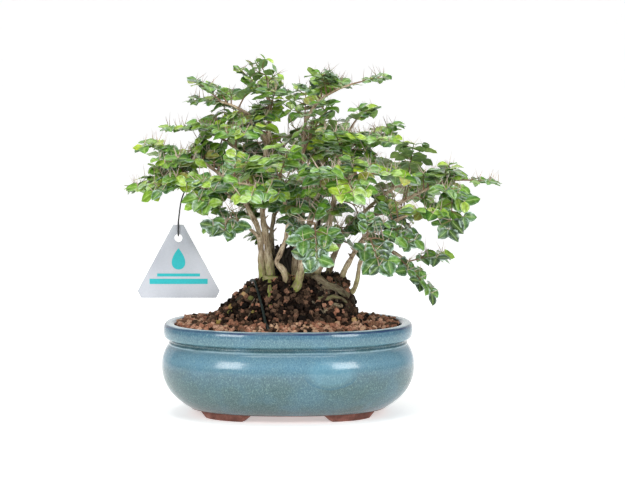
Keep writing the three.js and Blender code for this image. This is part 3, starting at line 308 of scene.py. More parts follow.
def random_from(seed):
    """A repeatable stream of numbers from 0 to 1, the same one that the CAD model grows its sprays from."""
    state = seed
    whole = 0xFFFFFFFF

    def draw():
        nonlocal state
        state = (state + 0x6D2B79F5) & whole
        mixed = ((state ^ (state >> 15)) * (state | 1)) & whole
        mixed ^= (mixed + (mixed ^ (mixed >> 7)) * (mixed | 61)) & whole
        return (mixed ^ (mixed >> 14)) / 4294967296

    return draw


def smooth(share):
    t = min(1, max(0, share))
    return t * t * (3 - 2 * t)


# Shapes
def powered(value):
    return math.copysign(abs(value) ** (2 / SQUARENESS), value)


def to_oval(point):
    """Carries a point of a turned shape to the pot's oval plan."""
    reach = math.hypot(point.x, point.y)
    angle = math.atan2(point.y, point.x)
    width_reach = reach - (HALF_LENGTH - HALF_WIDTH) * min(1, reach / (HALF_LENGTH * 0.6))
    return Vector((reach * powered(math.cos(angle)), width_reach * powered(math.sin(angle)), point.z))


def curve_point(path, share):
    """The point at a share of a smooth line through a path, the same line as the CAD model's limbs."""
    spans = len(path) - 1
    i = min(int(share * spans), spans - 1)
    w = share * spans - i
    here, after = Vector(path[i]), Vector(path[i + 1])
    before = Vector(path[i - 1]) if i else 2 * here - after
    later = Vector(path[i + 2]) if i + 2 <= spans else 2 * after - here
    leave, arrive = (after - before) / 2, (later - here) / 2
    return here + leave * w + (3 * (after - here) - 2 * leave - arrive) * w**2 + (
        2 * (here - after) + leave + arrive) * w**3


def curve_points(path, count):
    return [curve_point(path, i / count) for i in range(count + 1)]


def curve_length(points):
    return sum((b - a).length for a, b in zip(points, points[1:]))


def turns_of(count):
    """The angles of a number of even steps round a full turn."""
    return [FULL_TURN * i / count for i in range(count)]


def verts_of(geometry):
    return [element for element in geometry if isinstance(element, bmesh.types.BMVert)]


def steady(start, end, flare=0):
    """A radius that goes evenly from one end of a limb to the other, with a flare where the limb starts."""
    return lambda share: (start + (end - start) * share) * (1 + flare * math.exp(-share * 12))


def thinned(thick, count, loss):
    """Radii of a root that loses a share of its thickness on its way."""
    return [thick * (1 - loss * i / (count - 1)) for i in range(count)]


def steps_along(points):
    """For each point of a line, a matrix that stands there with its Z axis along the line, with least
    turning."""
    first = (points[1] - points[0]).normalized()
    across = Vector((0, 1, 0)) if abs(first.y) < 0.9 else Vector((1, 0, 0))
    for i, point in enumerate(points):
        along = (points[min(i + 1, len(points) - 1)] - points[max(i - 1, 0)]).normalized()
        across = (across - along * across.dot(along)).normalized()
        matrix = Matrix((across, along.cross(across), along)).transposed().to_4x4()
        matrix.translation = point
        yield matrix


def tube(points, radii, sides, relief=None, tone=lambda share: 0):
    """A closed tube, made by extruding a circle from point to point of a line.

    Its grain attribute is where each point would be if the tube were straight, so that a pattern follows it.
    relief(grain, radius) is how far a point stands out, and tone(share) is kept as an attribute.
    """
    bm = bmesh.new()
    grain = bm.verts.layers.float_vector.new("grain")
    shade = bm.verts.layers.float.new("tone")
    ring = bmesh.ops.create_circle(bm, segments=sides, radius=1)["verts"]
    start = noise.random() * 100
    before = Matrix()
    outward = {}
    gone = 0
    for i, (matrix, radius) in enumerate(zip(steps_along(points), radii)):
        if i:
            edges = dict.fromkeys(edge for v in ring for edge in v.link_edges if all(end in ring for end in edge.verts))
            made = bmesh.ops.extrude_edge_only(bm, edges=list(edges))["geom"]
            ring = verts_of(made)
            gone += (points[i] - points[i - 1]).length
        here = matrix @ Matrix.Diagonal((radius, radius, radius, 1))
        bmesh.ops.transform(bm, matrix=here @ before.inverted(), verts=ring)
        before = here
        back = matrix.inverted()
        for v in ring:
            flat = back @ v.co
            v[grain] = (flat.x, flat.y, gone + start)
            v[shade] = tone(i / (len(points) - 1))
            outward[v] = ((v.co - points[i]).normalized(), radius)
    if relief:
        for v, (way, radius) in outward.items():
            v.co += way * relief(v[grain], radius)
    bmesh.ops.holes_fill(bm, edges=[edge for edge in bm.edges if edge.is_boundary], sides=sides)
    bmesh.ops.recalc_face_normals(bm, faces=bm.faces)
    return bm


def absorb(bm, other):
    """Moves a bmesh into another one."""
    carrier = bpy.data.meshes.new("carrier")
    other.to_mesh(carrier)
    other.free()
    bm.from_mesh(carrier)
    bpy.data.meshes.remove(carrier)


def stamp(bm, template, matrix, **attributes):
    """Adds a placed copy of a template mesh, with its attributes set to one value all over."""
    copy = template.copy()
    copy.transform(matrix)
    for name, value in attributes.items():
        copy.attributes[name].data.foreach_set("value", [value] * len(copy.vertices))
    bm.from_mesh(copy)
    bpy.data.meshes.remove(copy)


def as_template(name, bm, slot=0):
    mesh = bpy.data.meshes.new(name)
    bm.to_mesh(mesh)
    bm.free()
    for polygon in mesh.polygons:
        polygon.material_index = slot
        polygon.use_smooth = True
    return mesh


def finished(name, bm, materials, stands_for=(), crease=50):
    """Turns a bmesh into a piece that stands in the frame and rides on its one body."""
    mesh = bpy.data.meshes.new(name)
    bm.to_mesh(mesh)
    bm.free()
    mesh.transform(HOME)
    for material in materials:
        mesh.materials.append(material)
    mesh.shade_smooth()
    mesh.set_sharp_from_angle(angle=math.radians(crease))
    piece = bpy.data.objects.new(name, mesh)
    bpy.context.scene.collection.objects.link(piece)
    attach(piece, "root")
    if stands_for:
        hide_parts(*stands_for)
    return piece


def refinished(node, material):
    """Gives a CAD node that stays in view a better material."""
    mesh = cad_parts[node].data
    mesh.materials.clear()
    mesh.materials.append(material)


# Materials: the factor and colours of a colour mix are its sockets 0, 6 and 7, and its result is output 2
COLOURS = {"output": 2, "data_type": "RGBA"}
TIMES = {**COLOURS, "blend_type": "MULTIPLY"}


def new_material(name, **values):
    """A material with one shader, and the values that are the same all over set on the shader's sockets."""
    material = bpy.data.materials.new(name)
    material.use_nodes = True
    shader = material.node_tree.nodes["Principled BSDF"]
    for socket, value in values.items():
        shader.inputs[socket.replace("_", " ")].default_value = value
    return material, material.node_tree


def dressed(material, bump=None, invert=False, **links):
    """Links outputs to a material's shader, and a bump from its height, its strength and its depth in
    millimetres."""
    tree = material.node_tree
    shader = tree.nodes["Principled BSDF"]
    if bump:
        height, strength, depth = bump
        links["Normal"] = add(tree, "Bump", {"Height": height, "Strength": strength, "Distance": depth * MM},
                              invert=invert)
    for socket, output in links.items():
        tree.links.new(output, shader.inputs[socket.replace("_", " ")])
    return material


def add(tree, kind, inputs=None, output=0, stops=None, **settings):
    """Adds a shader node with its settings, its inputs' values or links and a ramp's stops, and gives an
    output."""
    made = tree.nodes.new("ShaderNode" + kind)
    for name, value in settings.items():
        setattr(made, name, value)
    for socket, value in (inputs or {}).items():
        if isinstance(value, bpy.types.NodeSocket):
            tree.links.new(value, made.inputs[socket])
        else:
            made.inputs[socket].default_value = value
    if stops:
        elements = made.color_ramp.elements
        while len(elements) < len(stops):
            elements.new(0.5)
        for element, (position, colour) in zip(elements, stops):
            element.position = position
            element.color = linear(colour) if isinstance(colour, str) else (colour, colour, colour, 1)
    return made.outputs[output]


def pot_millimetres(tree):
    """Object coordinates as millimetres from the middle of the pot, the script's own measure."""
    place = add(tree, "TexCoord", output="Object")
    return add(tree, "Mapping", {
        "Vector": place, "Scale": (1 / MM,) * 3, "Location": -POT_MIDDLE / MM})


def celadon_glaze(settings):
    """Glossy reduction glaze over stoneware: pooled blue on the shoulder, greyer green where it runs thin,
    with painted shade low down and in the neck's groove, and painted highlights on the bead and the lip.
    """
    material, tree = new_material("celadon_glaze", Roughness=0.16, IOR=1.52)
    here = pot_millimetres(tree)
    height = add(tree, "SeparateXYZ", {0: here}, output="Z")
    # The glaze flows, so the bands wander by about 1.5 mm
    wander = add(tree, "TexNoise", {"Vector": here, "Scale": 0.06, "Detail": 2})
    wandered = add(tree, "Math", {0: wander, 1: 3.0, 2: height}, operation="MULTIPLY_ADD")
    level = add(tree, "Math", {0: wandered, 1: 1.5}, operation="SUBTRACT")
    share = add(tree, "Math", {0: level, 1: LIP}, operation="DIVIDE")
    # Colours by height: greyer green and darker low down, which is thin glaze and painted shade, pooled blue high on
    # the belly, a painted highlight on the shoulder's bead, painted shade in the groove above it, then the rim band
    glaze_bands_with_painted_light = add(tree, "ValToRGB", {0: share}, stops=[
        (0.1, "33474A"), (0.2, "3A5354"), (0.4, "415E61"), (0.52, "46646D"), (0.64, "62899C"),
        (0.74, "587E90"),
        (0.77, "7A98A5"), (0.79, "3F626C"), (0.815, "2E4A52"), (0.845, "567B86"), (0.9, "4C7382"),
        (0.962, "486C82")])
    # The navy line keeps to the lip's outer edge
    edge = add(tree, "Math", {0: wander, 1: 0.9, 2: height}, operation="MULTIPLY_ADD")
    edge_share = add(tree, "Math", {0: edge, 1: LIP}, operation="DIVIDE")
    line = add(tree, "ValToRGB", {0: edge_share}, stops=[
        (0.975, 0.0), (0.985, 0.9), (0.999, 0.9), (1.0042, 0.0)])
    # The lip's top is drawn paler: a painted highlight
    lip = add(tree, "MapRange", {0: edge_share, 1: 0.999, 2: 1.004})
    # Crystals in the glaze: freckles about 0.6 mm wide, drawn down by the flow
    drawn = add(tree, "Mapping", {"Vector": here, "Scale": (1, 1, 0.6)})
    freckles = add(tree, "TexNoise", {"Vector": drawn, "Scale": 1.2, "Detail": 4, "Roughness": 0.75})
    light = add(tree, "MapRange", {0: freckles, 1: 0.5, 2: 0.72, 3: 0, 4: 0.7})
    dark = add(tree, "MapRange", {0: freckles, 1: 0.5, 2: 0.3, 3: 0, 4: 0.5})
    # Clouds of thicker blue and thinner green, about 25 mm wide
    clouds = add(tree, "TexNoise", {"Vector": here, "Scale": 0.035, "Detail": 3})
    cloudy = add(tree, "MapRange", {0: clouds, 1: 0.45, 2: 0.65, 3: 0, 4: 0.3})
    bluer = add(tree, "Mix", {0: cloudy, 6: glaze_bands_with_painted_light, 7: linear("4E7F9C")}, **COLOURS)
    lighter = add(tree, "Mix", {0: light, 6: bluer, 7: linear("89A9A6")}, **COLOURS)
    freckled = add(tree, "Mix", {0: dark, 6: lighter, 7: linear("35525A")}, **COLOURS)
    # One puddle of glaze right of the front's middle, 30 mm wide
    beside = add(tree, "VectorMath", {0: here, 1: (-36, 72, -43)}, operation="ADD")
    puddle_place = add(tree, "VectorMath", {0: beside, 1: (1 / 17, 1 / 22, 1 / 9.5)}, operation="MULTIPLY")
    swirl = add(tree, "TexNoise", {"Vector": here, "Scale": 0.16, "Detail": 3}, output="Color")
    ragged = add(tree, "Mix", {0: 0.22, 4: puddle_place, 5: swirl}, output=1, data_type="VECTOR")
    away = add(tree, "VectorMath", {0: ragged}, output="Value", operation="LENGTH")
    puddle = add(tree, "MapRange", {0: away, 1: 1.0, 2: 0.6, 3: 0, 4: 0.28})
    below = add(tree, "SeparateXYZ", {0: ragged}, output="Z")
    under = add(tree, "MapRange", {0: below, 1: 0.1, 2: -0.6})
    ring = add(tree, "ValToRGB", {0: away}, stops=[(0.8, 0.0), (0.94, 0.55), (0.98, 0.5), (1.0, 0.0)])
    shadow = add(tree, "Math", {0: ring, 1: under}, operation="MULTIPLY")
    pooled = add(tree, "Mix", {0: puddle, 6: freckled, 7: linear("6CA6BC")}, **COLOURS)
    rimmed = add(tree, "Mix", {0: shadow, 6: pooled, 7: linear("2F6178")}, **COLOURS)
    worn = add(tree, "MapRange", {0: clouds, 1: 0.36, 2: 0.56, 3: 0.45, 4: 1.0})
    broken = add(tree, "Math", {0: line, 1: worn}, operation="MULTIPLY")
    lined = add(tree, "Mix", {0: broken, 6: rimmed, 7: linear("1C2C57")}, **COLOURS)
    with_lip_highlight = add(tree, "Mix", {0: lip, 6: lined, 7: linear("A3B7C2")}, **COLOURS)
    tinted = add(tree, "Mix", {0: 1.0, 6: with_lip_highlight, 7: [*settings.glaze_tint, 1]}, **TIMES)
    # A fired surface waves by a few hundredths of a millimetre
    waves = add(tree, "TexNoise", {"Vector": here, "Scale": 0.09, "Detail": 2})
    pits = add(tree, "Math", {0: freckles, 1: 0.06, 2: waves}, operation="MULTIPLY_ADD")
    return dressed(material, bump=(pits, 0.5, 0.4), Base_Color=tinted)


def bare_stoneware(settings):
    """Unglazed red stoneware: matt, rusty brown, sandy, a little paler where it was wiped."""
    material, tree = new_material("bare_stoneware", Roughness=0.82)
    here = pot_millimetres(tree)
    sand = add(tree, "TexNoise", {"Vector": here, "Scale": 1.4, "Detail": 4})
    stains = add(tree, "TexNoise", {"Vector": here, "Scale": 0.12, "Detail": 2})
    mixed = add(tree, "Math", {0: sand, 1: 0.5, 2: stains}, operation="MULTIPLY_ADD")
    clay = add(tree, "ValToRGB", {0: mixed}, stops=[
        (0.5, "53302A"), (0.7, "704439"), (0.85, "8A5A4E"), (1.0, "A07468")])
    tinted = add(tree, "Mix", {0: 1.0, 6: clay, 7: [*settings.clay_tint, 1]}, **TIMES)
    return dressed(material, bump=(sand, 0.6, 0.25), Base_Color=tinted)


def fired_clay_granules(settings):
    """Fired soil granules: matt, porous, rust to dark brown, with a few ochre and mossy ones."""
    material, tree = new_material("fired_clay_granules", Roughness=0.9, Specular_IOR_Level=0.2)
    here = pot_millimetres(tree)
    tone = add(tree, "Attribute", output="Fac", attribute_name="tone")
    grit = add(tree, "TexNoise", {"Vector": here, "Scale": 1.6, "Detail": 4, "Roughness": 0.7})
    varied = add(tree, "Math", {0: grit, 1: 0.4, 2: tone}, operation="MULTIPLY_ADD")
    shifted = add(tree, "Math", {0: varied, 1: 0.2}, operation="SUBTRACT")
    colours = add(tree, "ValToRGB", {0: shifted}, stops=[
        (0.0, "0D0704"), (0.16, "25170F"), (0.3, "47362A"), (0.42, "6E5645"), (0.52, "946853"),
        (0.64, "B37C63"),
        (0.8, "D6AE96"), (0.87, "C0A05E"), (0.94, "94884C"), (1.0, "6B7040")])
    pores = add(tree, "MapRange", {0: grit, 1: 0.34, 2: 0.6, 3: 0.4, 4: 1.25})
    dusty = add(tree, "Mix", {0: 1.0, 6: colours, 7: pores}, **TIMES)
    tinted = add(tree, "Mix", {0: 1.0, 6: dusty, 7: [*settings.tint, 1]}, **TIMES)
    return dressed(material, bump=(grit, 0.8, 0.3), Base_Color=tinted)


def damp_potting_soil():
    """The soil between the granules: damp, near black brown, crumbly, with painted shade in the hollows between its
    crumbs.
    """
    material, tree = new_material("damp_potting_soil", Roughness=0.95, Specular_IOR_Level=0.1)
    here = pot_millimetres(tree)
    crumbs = add(tree, "TexVoronoi", {"Vector": here, "Scale": 0.6})
    # Darker towards each crumb's edge, where the bump sinks: painted shade between the crumbs
    colour = add(tree, "ValToRGB", {0: crumbs}, stops=[(0.1, "2E1C14"), (0.5, "170D08"), (0.9, "080403")])
    return dressed(material, bump=(crumbs, 1.0, 1.0), invert=True, Base_Color=colour)


def smooth_bark(settings):
    """Thin old bark: tan-grey with long darker streaks and pale specks, green with algae at the feet of
    stems."""
    material, tree = new_material("smooth_bark", Roughness=0.78, Specular_IOR_Level=0.3)
    grain = add(tree, "Attribute", output="Vector", attribute_name="grain")
    tone = add(tree, "Attribute", output="Fac", attribute_name="tone")
    algae = add(tree, "Attribute", output="Fac", attribute_name="algae")
    # Streaks about 1 mm wide and 6 mm long
    long_grain = add(tree, "Mapping", {"Vector": grain, "Scale": (1, 1, 0.17)})
    streaks = add(tree, "TexNoise", {"Vector": long_grain, "Scale": 0.9, "Detail": 4, "Roughness": 0.65})
    patches = add(tree, "TexNoise", {"Vector": grain, "Scale": 0.14, "Detail": 3})
    mixed = add(tree, "Math", {0: patches, 1: 0.6, 2: streaks}, operation="MULTIPLY_ADD")
    bark = add(tree, "ValToRGB", {0: mixed}, stops=[
        (0.47, "3A2D22"), (0.58, "6E5B46"), (0.7, "9A846A"), (0.83, "BDA98D"), (0.98, "DCCDB4")])
    # Cracks about 0.4 mm wide run along the stem
    cracks = add(tree, "TexNoise", {"Vector": long_grain, "Scale": 2.4, "Detail": 2, "Roughness": 0.5})
    cracked = add(tree, "MapRange", {0: cracks, 1: 0.36, 2: 0.46, 3: 0.4, 4: 1.0})
    specks = add(tree, "TexVoronoi", {"Vector": grain, "Scale": 0.45})
    speckle = add(tree, "MapRange", {0: specks, 1: 0.16, 2: 0.08, 3: 0, 4: 0.6})
    speckled = add(tree, "Mix", {0: speckle, 6: bark, 7: linear("D8CBB0")}, **COLOURS)
    creviced = add(tree, "Mix", {0: 1.0, 6: speckled, 7: cracked}, **TIMES)
    tinted = add(tree, "Mix", {0: 1.0, 6: creviced, 7: [*settings.bark_tint, 1]}, **TIMES)
    patchy = add(tree, "MapRange", {0: streaks, 1: 0.4, 2: 0.58, 3: 0.1, 4: 1.0})
    grown = add(tree, "Math", {0: algae, 1: patchy}, operation="MULTIPLY")
    green = add(tree, "ValToRGB", {0: streaks}, stops=[(0.35, "5A6330"), (0.6, "8C9A3E"), (0.75, "B3B552")])
    grassy = add(tree, "Mix", {0: grown, 6: tinted, 7: green}, **COLOURS)
    shaded = add(tree, "Mix", {0: tone, 6: grassy, 7: linear("15100C")}, **COLOURS)
    return dressed(material, bump=(streaks, 0.7, 0.5), Base_Color=shaded)


def young_twig_bark():
    """Twigs: pinkish brown and slightly downy near the branch, green at the tip."""
    material, tree = new_material("young_twig_bark", Roughness=0.7)
    grain = add(tree, "Attribute", output="Vector", attribute_name="grain")
    tone = add(tree, "Attribute", output="Fac", attribute_name="tone")
    age = add(tree, "ValToRGB", {0: tone}, stops=[
        (0.0, "8D7058"), (0.35, "7A5F48"), (0.7, "7C6F43"), (1.0, "7E9A48")])
    fine = add(tree, "TexNoise", {"Vector": grain, "Scale": 1.2, "Detail": 3})
    shade = add(tree, "MapRange", {0: fine, 1: 0.3, 2: 0.7, 3: 0.65, 4: 1.25})
    mixed = add(tree, "Mix", {0: 1.0, 6: age, 7: shade}, **TIMES)
    return dressed(material, bump=(fine, 0.5, 0.15), Base_Color=mixed)


def needle_spine():
    """Spines: hard and waxy, pale pinkish beige when old, browner towards the tip."""
    material, tree = new_material("needle_spine", Roughness=0.45)
    along = add(tree, "UVMap", uv_map="UVMap")
    share = add(tree, "SeparateXYZ", {0: along}, output="Y")
    tone = add(tree, "Attribute", output="Fac", attribute_name="tone")
    pale = add(tree, "ValToRGB", {0: share}, stops=[(0.0, "C2AA96"), (0.6, "DECBBD"), (1.0, "8A5F4A")])
    dark = add(tree, "ValToRGB", {0: share}, stops=[(0.0, "6F7A45"), (0.5, "7C5F49"), (1.0, "4A332A")])
    mixed = add(tree, "Mix", {0: tone, 6: pale, 7: dark}, **COLOURS)
    return dressed(material, Base_Color=mixed)


def leathery_leaf(settings):
    """Evergreen leaves: leathery and half glossy above with a pale midrib, matt and paler below, with a
    painted pale sheen along the margins.
    """
    material, tree = new_material("leathery_leaf", Roughness=0.3, Specular_IOR_Level=0.2,
                                  Coat_Weight=0.5, Coat_Roughness=0.1)
    place = add(tree, "UVMap", uv_map="UVMap")
    across = add(tree, "SeparateXYZ", {0: place}, output="X")
    along = across.node.outputs["Y"]
    tone = add(tree, "Attribute", output="Fac", attribute_name="tone")
    bloom = add(tree, "Attribute", output="Fac", attribute_name="bloom")
    under = add(tree, "Attribute", output="Fac", attribute_name="under")
    centred = add(tree, "Math", {0: across, 1: 0.5}, operation="SUBTRACT")
    aside = add(tree, "Math", {0: centred}, operation="ABSOLUTE")
    edge = add(tree, "Math", {0: aside, 1: 2.0}, operation="MULTIPLY")
    blade = add(tree, "ValToRGB", {0: tone}, stops=[
        (0.0, "0E2A0C"), (0.18, "2C5A16"), (0.36, "588620"), (0.52, "80A22A"), (0.68, "96B032"),
        (0.82, "A6C234"),
        (0.9, "969636"), (1.0, "86793A")])
    tinted = add(tree, "Mix", {0: 1.0, 6: blade, 7: [*settings.leaf_tint, 1]}, **TIMES)
    here = pot_millimetres(tree)
    mottle = add(tree, "TexNoise", {"Vector": here, "Scale": 0.35, "Detail": 3})
    shade = add(tree, "MapRange", {0: mottle, 1: 0.3, 2: 0.7, 3: 0.5, 4: 1.5})
    mottled = add(tree, "Mix", {0: 1.0, 6: tinted, 7: shade}, **TIMES)
    # Six pairs of veins lean forwards from the midrib
    leant = add(tree, "Math", {0: edge, 1: -0.3, 2: along}, operation="MULTIPLY_ADD")
    turned = add(tree, "Math", {0: leant, 1: 6 * FULL_TURN}, operation="MULTIPLY")
    wave = add(tree, "Math", {0: turned}, operation="SINE")
    veins = add(tree, "MapRange", {0: wave, 1: 0.75, 2: 1.0, 3: 0, 4: 0.15})
    veined = add(tree, "Mix", {0: veins, 6: mottled, 7: linear("9CC05A")}, **COLOURS)
    soft = {"interpolation_type": "SMOOTHSTEP"}
    midrib = add(tree, "MapRange", {0: edge, 1: 0.1, 2: 0.02, 3: 0, 4: 0.45}, **soft)
    glow = add(tree, "MapRange", {0: edge, 1: 0.7, 2: 0.0, 3: 0, 4: 0.25}, **soft)
    warmed = add(tree, "Mix", {0: glow, 6: veined, 7: linear("8FC044")}, **COLOURS)
    ribbed = add(tree, "Mix", {0: midrib, 6: warmed, 7: linear("C2D88A")}, **COLOURS)
    # Painted reflection: a pale bluish sheen along the margins, in patches, as strong as each leaf's painted sheen
    # value
    margin = add(tree, "MapRange", {0: edge, 1: 0.5, 2: 1.0, 3: 0.12}, **soft)
    patchy = add(tree, "MapRange", {0: mottle, 1: 0.4, 2: 0.6, 3: 0.3, 4: 1.2})
    frosted = add(tree, "Math", {0: margin, 1: bloom}, operation="MULTIPLY")
    bloomed = add(tree, "Math", {0: frosted, 1: patchy}, operation="MULTIPLY", use_clamp=True)
    waxy = add(tree, "Mix", {0: bloomed, 6: ribbed, 7: linear("C4DCCE")}, **COLOURS)
    below = add(tree, "Mix", {0: 0.55, 6: waxy, 7: linear("8FA873")}, **COLOURS)
    both = add(tree, "Mix", {0: under, 6: waxy, 7: below}, **COLOURS)
    matt = add(tree, "MapRange", {0: under, 3: 0.3, 4: 0.6})
    ridges = add(tree, "Math", {0: veins, 1: midrib}, operation="ADD")
    return dressed(material, bump=(ridges, 0.5, 0.25), invert=True, Base_Color=both, Roughness=matt)


def anodised_wire(name, colour, worn):
    """Dark anodised aluminium training wire: satin, with a worn sheen where it was bent."""
    material, tree = new_material(name, Roughness=0.42, Metallic=0.35)
    here = pot_millimetres(tree)
    wear = add(tree, "TexNoise", {"Vector": here, "Scale": 0.5, "Detail": 4})
    colours = add(tree, "ValToRGB", {0: wear}, stops=[(0.3, colour), (0.6, colour), (0.75, worn)])
    rough = add(tree, "MapRange", {0: wear, 1: 0.3, 2: 0.7, 3: 0.35, 4: 0.6})
    return dressed(material, bump=(wear, 0.3, 0.2), Base_Color=colours, Roughness=rough)


def frosted_polypropylene():
    """Frosted sheet plastic: pale cool grey, silky, with a very fine grain."""
    material, tree = new_material("frosted_polypropylene", Roughness=0.4)
    here = pot_millimetres(tree)
    # The real grain is far too fine to show, so it is drawn 1 mm coarse
    grain = add(tree, "TexNoise", {"Vector": here, "Scale": 1.0, "Detail": 3})
    clouds = add(tree, "TexNoise", {"Vector": here, "Scale": 0.03, "Detail": 1})
    mixed = add(tree, "Math", {0: grain, 1: 0.25, 2: clouds}, operation="MULTIPLY_ADD")
    colour = add(tree, "ValToRGB", {0: mixed}, stops=[(0.4, "A5A9B1"), (0.6, "B1B5BC"), (0.85, "BFC2C9")])
    return dressed(material, bump=(grain, 0.2, 0.05), Base_Color=colour)


def screen_ink(settings):
    """Screen-printed turquoise ink: flat and even, slightly glossier than the sheet under it."""
    material, tree = new_material("screen_ink", Roughness=0.33)
    here = pot_millimetres(tree)
    cover = add(tree, "TexNoise", {"Vector": here, "Scale": 0.8, "Detail": 3})
    shade = add(tree, "MapRange", {0: cover, 1: 0.3, 2: 0.7, 3: 0.92, 4: 1.06})
    colour = add(tree, "Mix", {0: 1.0, 6: [*settings.ink, 1], 7: shade}, **TIMES)
    return dressed(material, Base_Color=colour)


def moulded_mesh_plastic():
    """Injection-moulded polyethylene mesh: black, waxy, dusty with soil."""
    material, tree = new_material("moulded_mesh_plastic", Roughness=0.55)
    here = pot_millimetres(tree)
    dust = add(tree, "TexNoise", {"Vector": here, "Scale": 0.4, "Detail": 4})
    colour = add(tree, "ValToRGB", {0: dust}, stops=[(0.4, "17181A"), (0.6, "26241F"), (0.8, "4A382B")])
    return dressed(material, bump=(dust, 0.3, 0.1), Base_Color=colour)


def studio_paper():
    """Seamless paper sweep: matt, white, with hardly any tooth."""
    material, tree = new_material("studio_paper", Roughness=0.95, Emission_Strength=0.45,
                                  Emission_Color=(1, 1, 1, 1))
    here = pot_millimetres(tree)
    tooth = add(tree, "TexNoise", {"Vector": here, "Scale": 0.05, "Detail": 2})
    colour = add(tree, "ValToRGB", {0: tooth}, stops=[(0.3, "F6F6F6"), (0.7, "FAFAFA")])
    return dressed(material, Base_Color=colour)


# Pot
def rounded_line(points, cuts):
    """A line of [offset, height] points with smooth stretches between them."""
    path = [(offset, height, 0) for offset, height in points]
    return [curve_point(path, i / (cuts * (len(path) - 1))) for i in range(cuts * (len(path) - 1) + 1)]


def pot_body(steps):
    """The wall and floor, spun from one line round the pot and carried to the oval plan."""
    bm = bmesh.new()
    line = rounded_line(OUTSIDE, 3) + rounded_line(INSIDE, 2)
    corners = [bm.verts.new((max(0, HALF_LENGTH + point.x), 0, point.y)) for point in line]
    edges = [bm.edges.new(pair) for pair in zip(corners, corners[1:])]
    bmesh.ops.spin(bm, geom=corners + edges, axis=UP, cent=(0, 0, 0), angle=FULL_TURN, steps=steps,
                   use_merge=True)
    bmesh.ops.remove_doubles(bm, verts=bm.verts, dist=1e-3)
    for v in bm.verts:
        v.co = to_oval(v.co)
    bmesh.ops.recalc_face_normals(bm, faces=bm.faces)
    for face in bm.faces:
        face.material_index = 1 if face.calc_center_median().z < FOOT_HEIGHT + 0.6 else 0
    return bm


def foot(centre):
    """A foot that follows the base's outline and narrows towards its sole."""
    def corner(offset, degrees):
        angle = math.radians(degrees)
        return to_oval(Vector((math.cos(angle), math.sin(angle), 0)) * (HALF_LENGTH + offset))

    first = centre - FOOT["span"] / 2
    turns = [first + FOOT["span"] * i / FOOT["steps"] for i in range(FOOT["steps"] + 1)]
    outline = [corner(FOOT["outer"], turn) for turn in turns]
    outline += [corner(FOOT["inner"], turn) for turn in reversed(turns)]
    middle = corner((FOOT["outer"] + FOOT["inner"]) / 2, centre)
    bm = bmesh.new()
    sole = bm.faces.new([bm.verts.new(point) for point in outline])
    raised = bmesh.ops.extrude_face_region(bm, geom=[sole])["geom"]
    bmesh.ops.translate(bm, vec=UP * (FOOT_HEIGHT + FOOT["sink"]), verts=verts_of(raised))
    for v in bm.verts:
        v.co.xy = v.co.xy.lerp(middle.xy, FOOT["taper"] * (1 - v.co.z / (FOOT_HEIGHT + FOOT["sink"])))
    low = [edge for edge in bm.edges if all(v.co.z < 0.01 for v in edge.verts)]
    upright = [edge for edge in bm.edges if abs(edge.verts[0].co.z - edge.verts[1].co.z) > 1]
    ends = [edge for edge in upright if edge.calc_face_angle() > 0.8]
    bmesh.ops.bevel(bm, geom=low + ends, offset=FOOT["round"], affect="EDGES", segments=3, profile=0.5,
                    material=-1)
    bmesh.ops.recalc_face_normals(bm, faces=bm.faces)
    for face in bm.faces:
        face.material_index = 1
    return bm


def add_drill(bm, radius, depth, place):
    bmesh.ops.create_cone(bm, cap_ends=True, segments=40, radius1=radius, radius2=radius, depth=depth,
                          matrix=place)


def drilled(piece, holes):
    """Cuts a bmesh of drills, given in millimetres, out of a finished piece."""
    mesh = bpy.data.meshes.new("drill")
    holes.to_mesh(mesh)
    holes.free()
    mesh.transform(HOME)
    drill = bpy.data.objects.new("drill", mesh)
    bpy.context.scene.collection.objects.link(drill)
    cut = piece.modifiers.new("drain_holes", "BOOLEAN")
    cut.object = drill
    cut.operation = "DIFFERENCE"
    cut.solver = "EXACT"
    shown = piece.evaluated_get(bpy.context.evaluated_depsgraph_get())
    whole = piece.data
    piece.data = bpy.data.meshes.new_from_object(shown)
    piece.data.name = whole.name
    piece.modifiers.clear()
    bpy.data.meshes.remove(whole)
    bpy.data.objects.remove(drill)
    bpy.data.meshes.remove(mesh)


def any_way(rng):
    """A direction drawn at random, all directions alike."""
    return Vector([rng.gauss(0, 1) for _ in range(3)]).normalized()


# Soil
def soil_height(x, y):
    """The height of the soil's upper side: a level bed, and a mound whose right flank has its own slope."""
    reach = MOUND["left"] if x < MOUND["centre"] else MOUND["right"]
    away = math.hypot((x - MOUND["centre"]) / reach, y / MOUND["depth"])
    rightward = (x - MOUND["centre"]) / reach / max(away, 0.1)
    slope = MOUND["slope"] + (MOUND["right_slope"] - MOUND["slope"]) * smooth((rightward - 0.3) / 0.6)
    climbed = min(1, max(0, (1 - away) / slope))
    rounded = climbed + (smooth(climbed) - climbed) * MOUND["rounding"]
    return SOIL_EDGE + 1 + MOUND["rise"] * rounded - smooth(away - 1)


def in_the_pot(point, margin):
    """Whether a point is inside the wall by a margin."""
    length, width = HALF_LENGTH - WALL - margin, HALF_WIDTH - WALL - margin
    return (abs(point.x) / length) ** SQUARENESS + (abs(point.y) / width) ** SQUARENESS < 1


def soil_surface():
    """The triangles of the CAD soil's upper side, in the script's millimetres: area, corners and normal."""
    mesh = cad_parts["soil"].data
    mesh.calc_loop_triangles()
    there = HOME.inverted()
    found = []
    for triangle in mesh.loop_triangles:
        a, b, c = (there @ mesh.vertices[i].co for i in triangle.vertices)
        normal = (b - a).cross(c - a)
        if normal.normalized().z > 0.08 and (a + b + c).z / 3 > SOIL_EDGE - 1:
            found.append((normal.length / 2, (a, b, c), normal.normalized()))
    return found


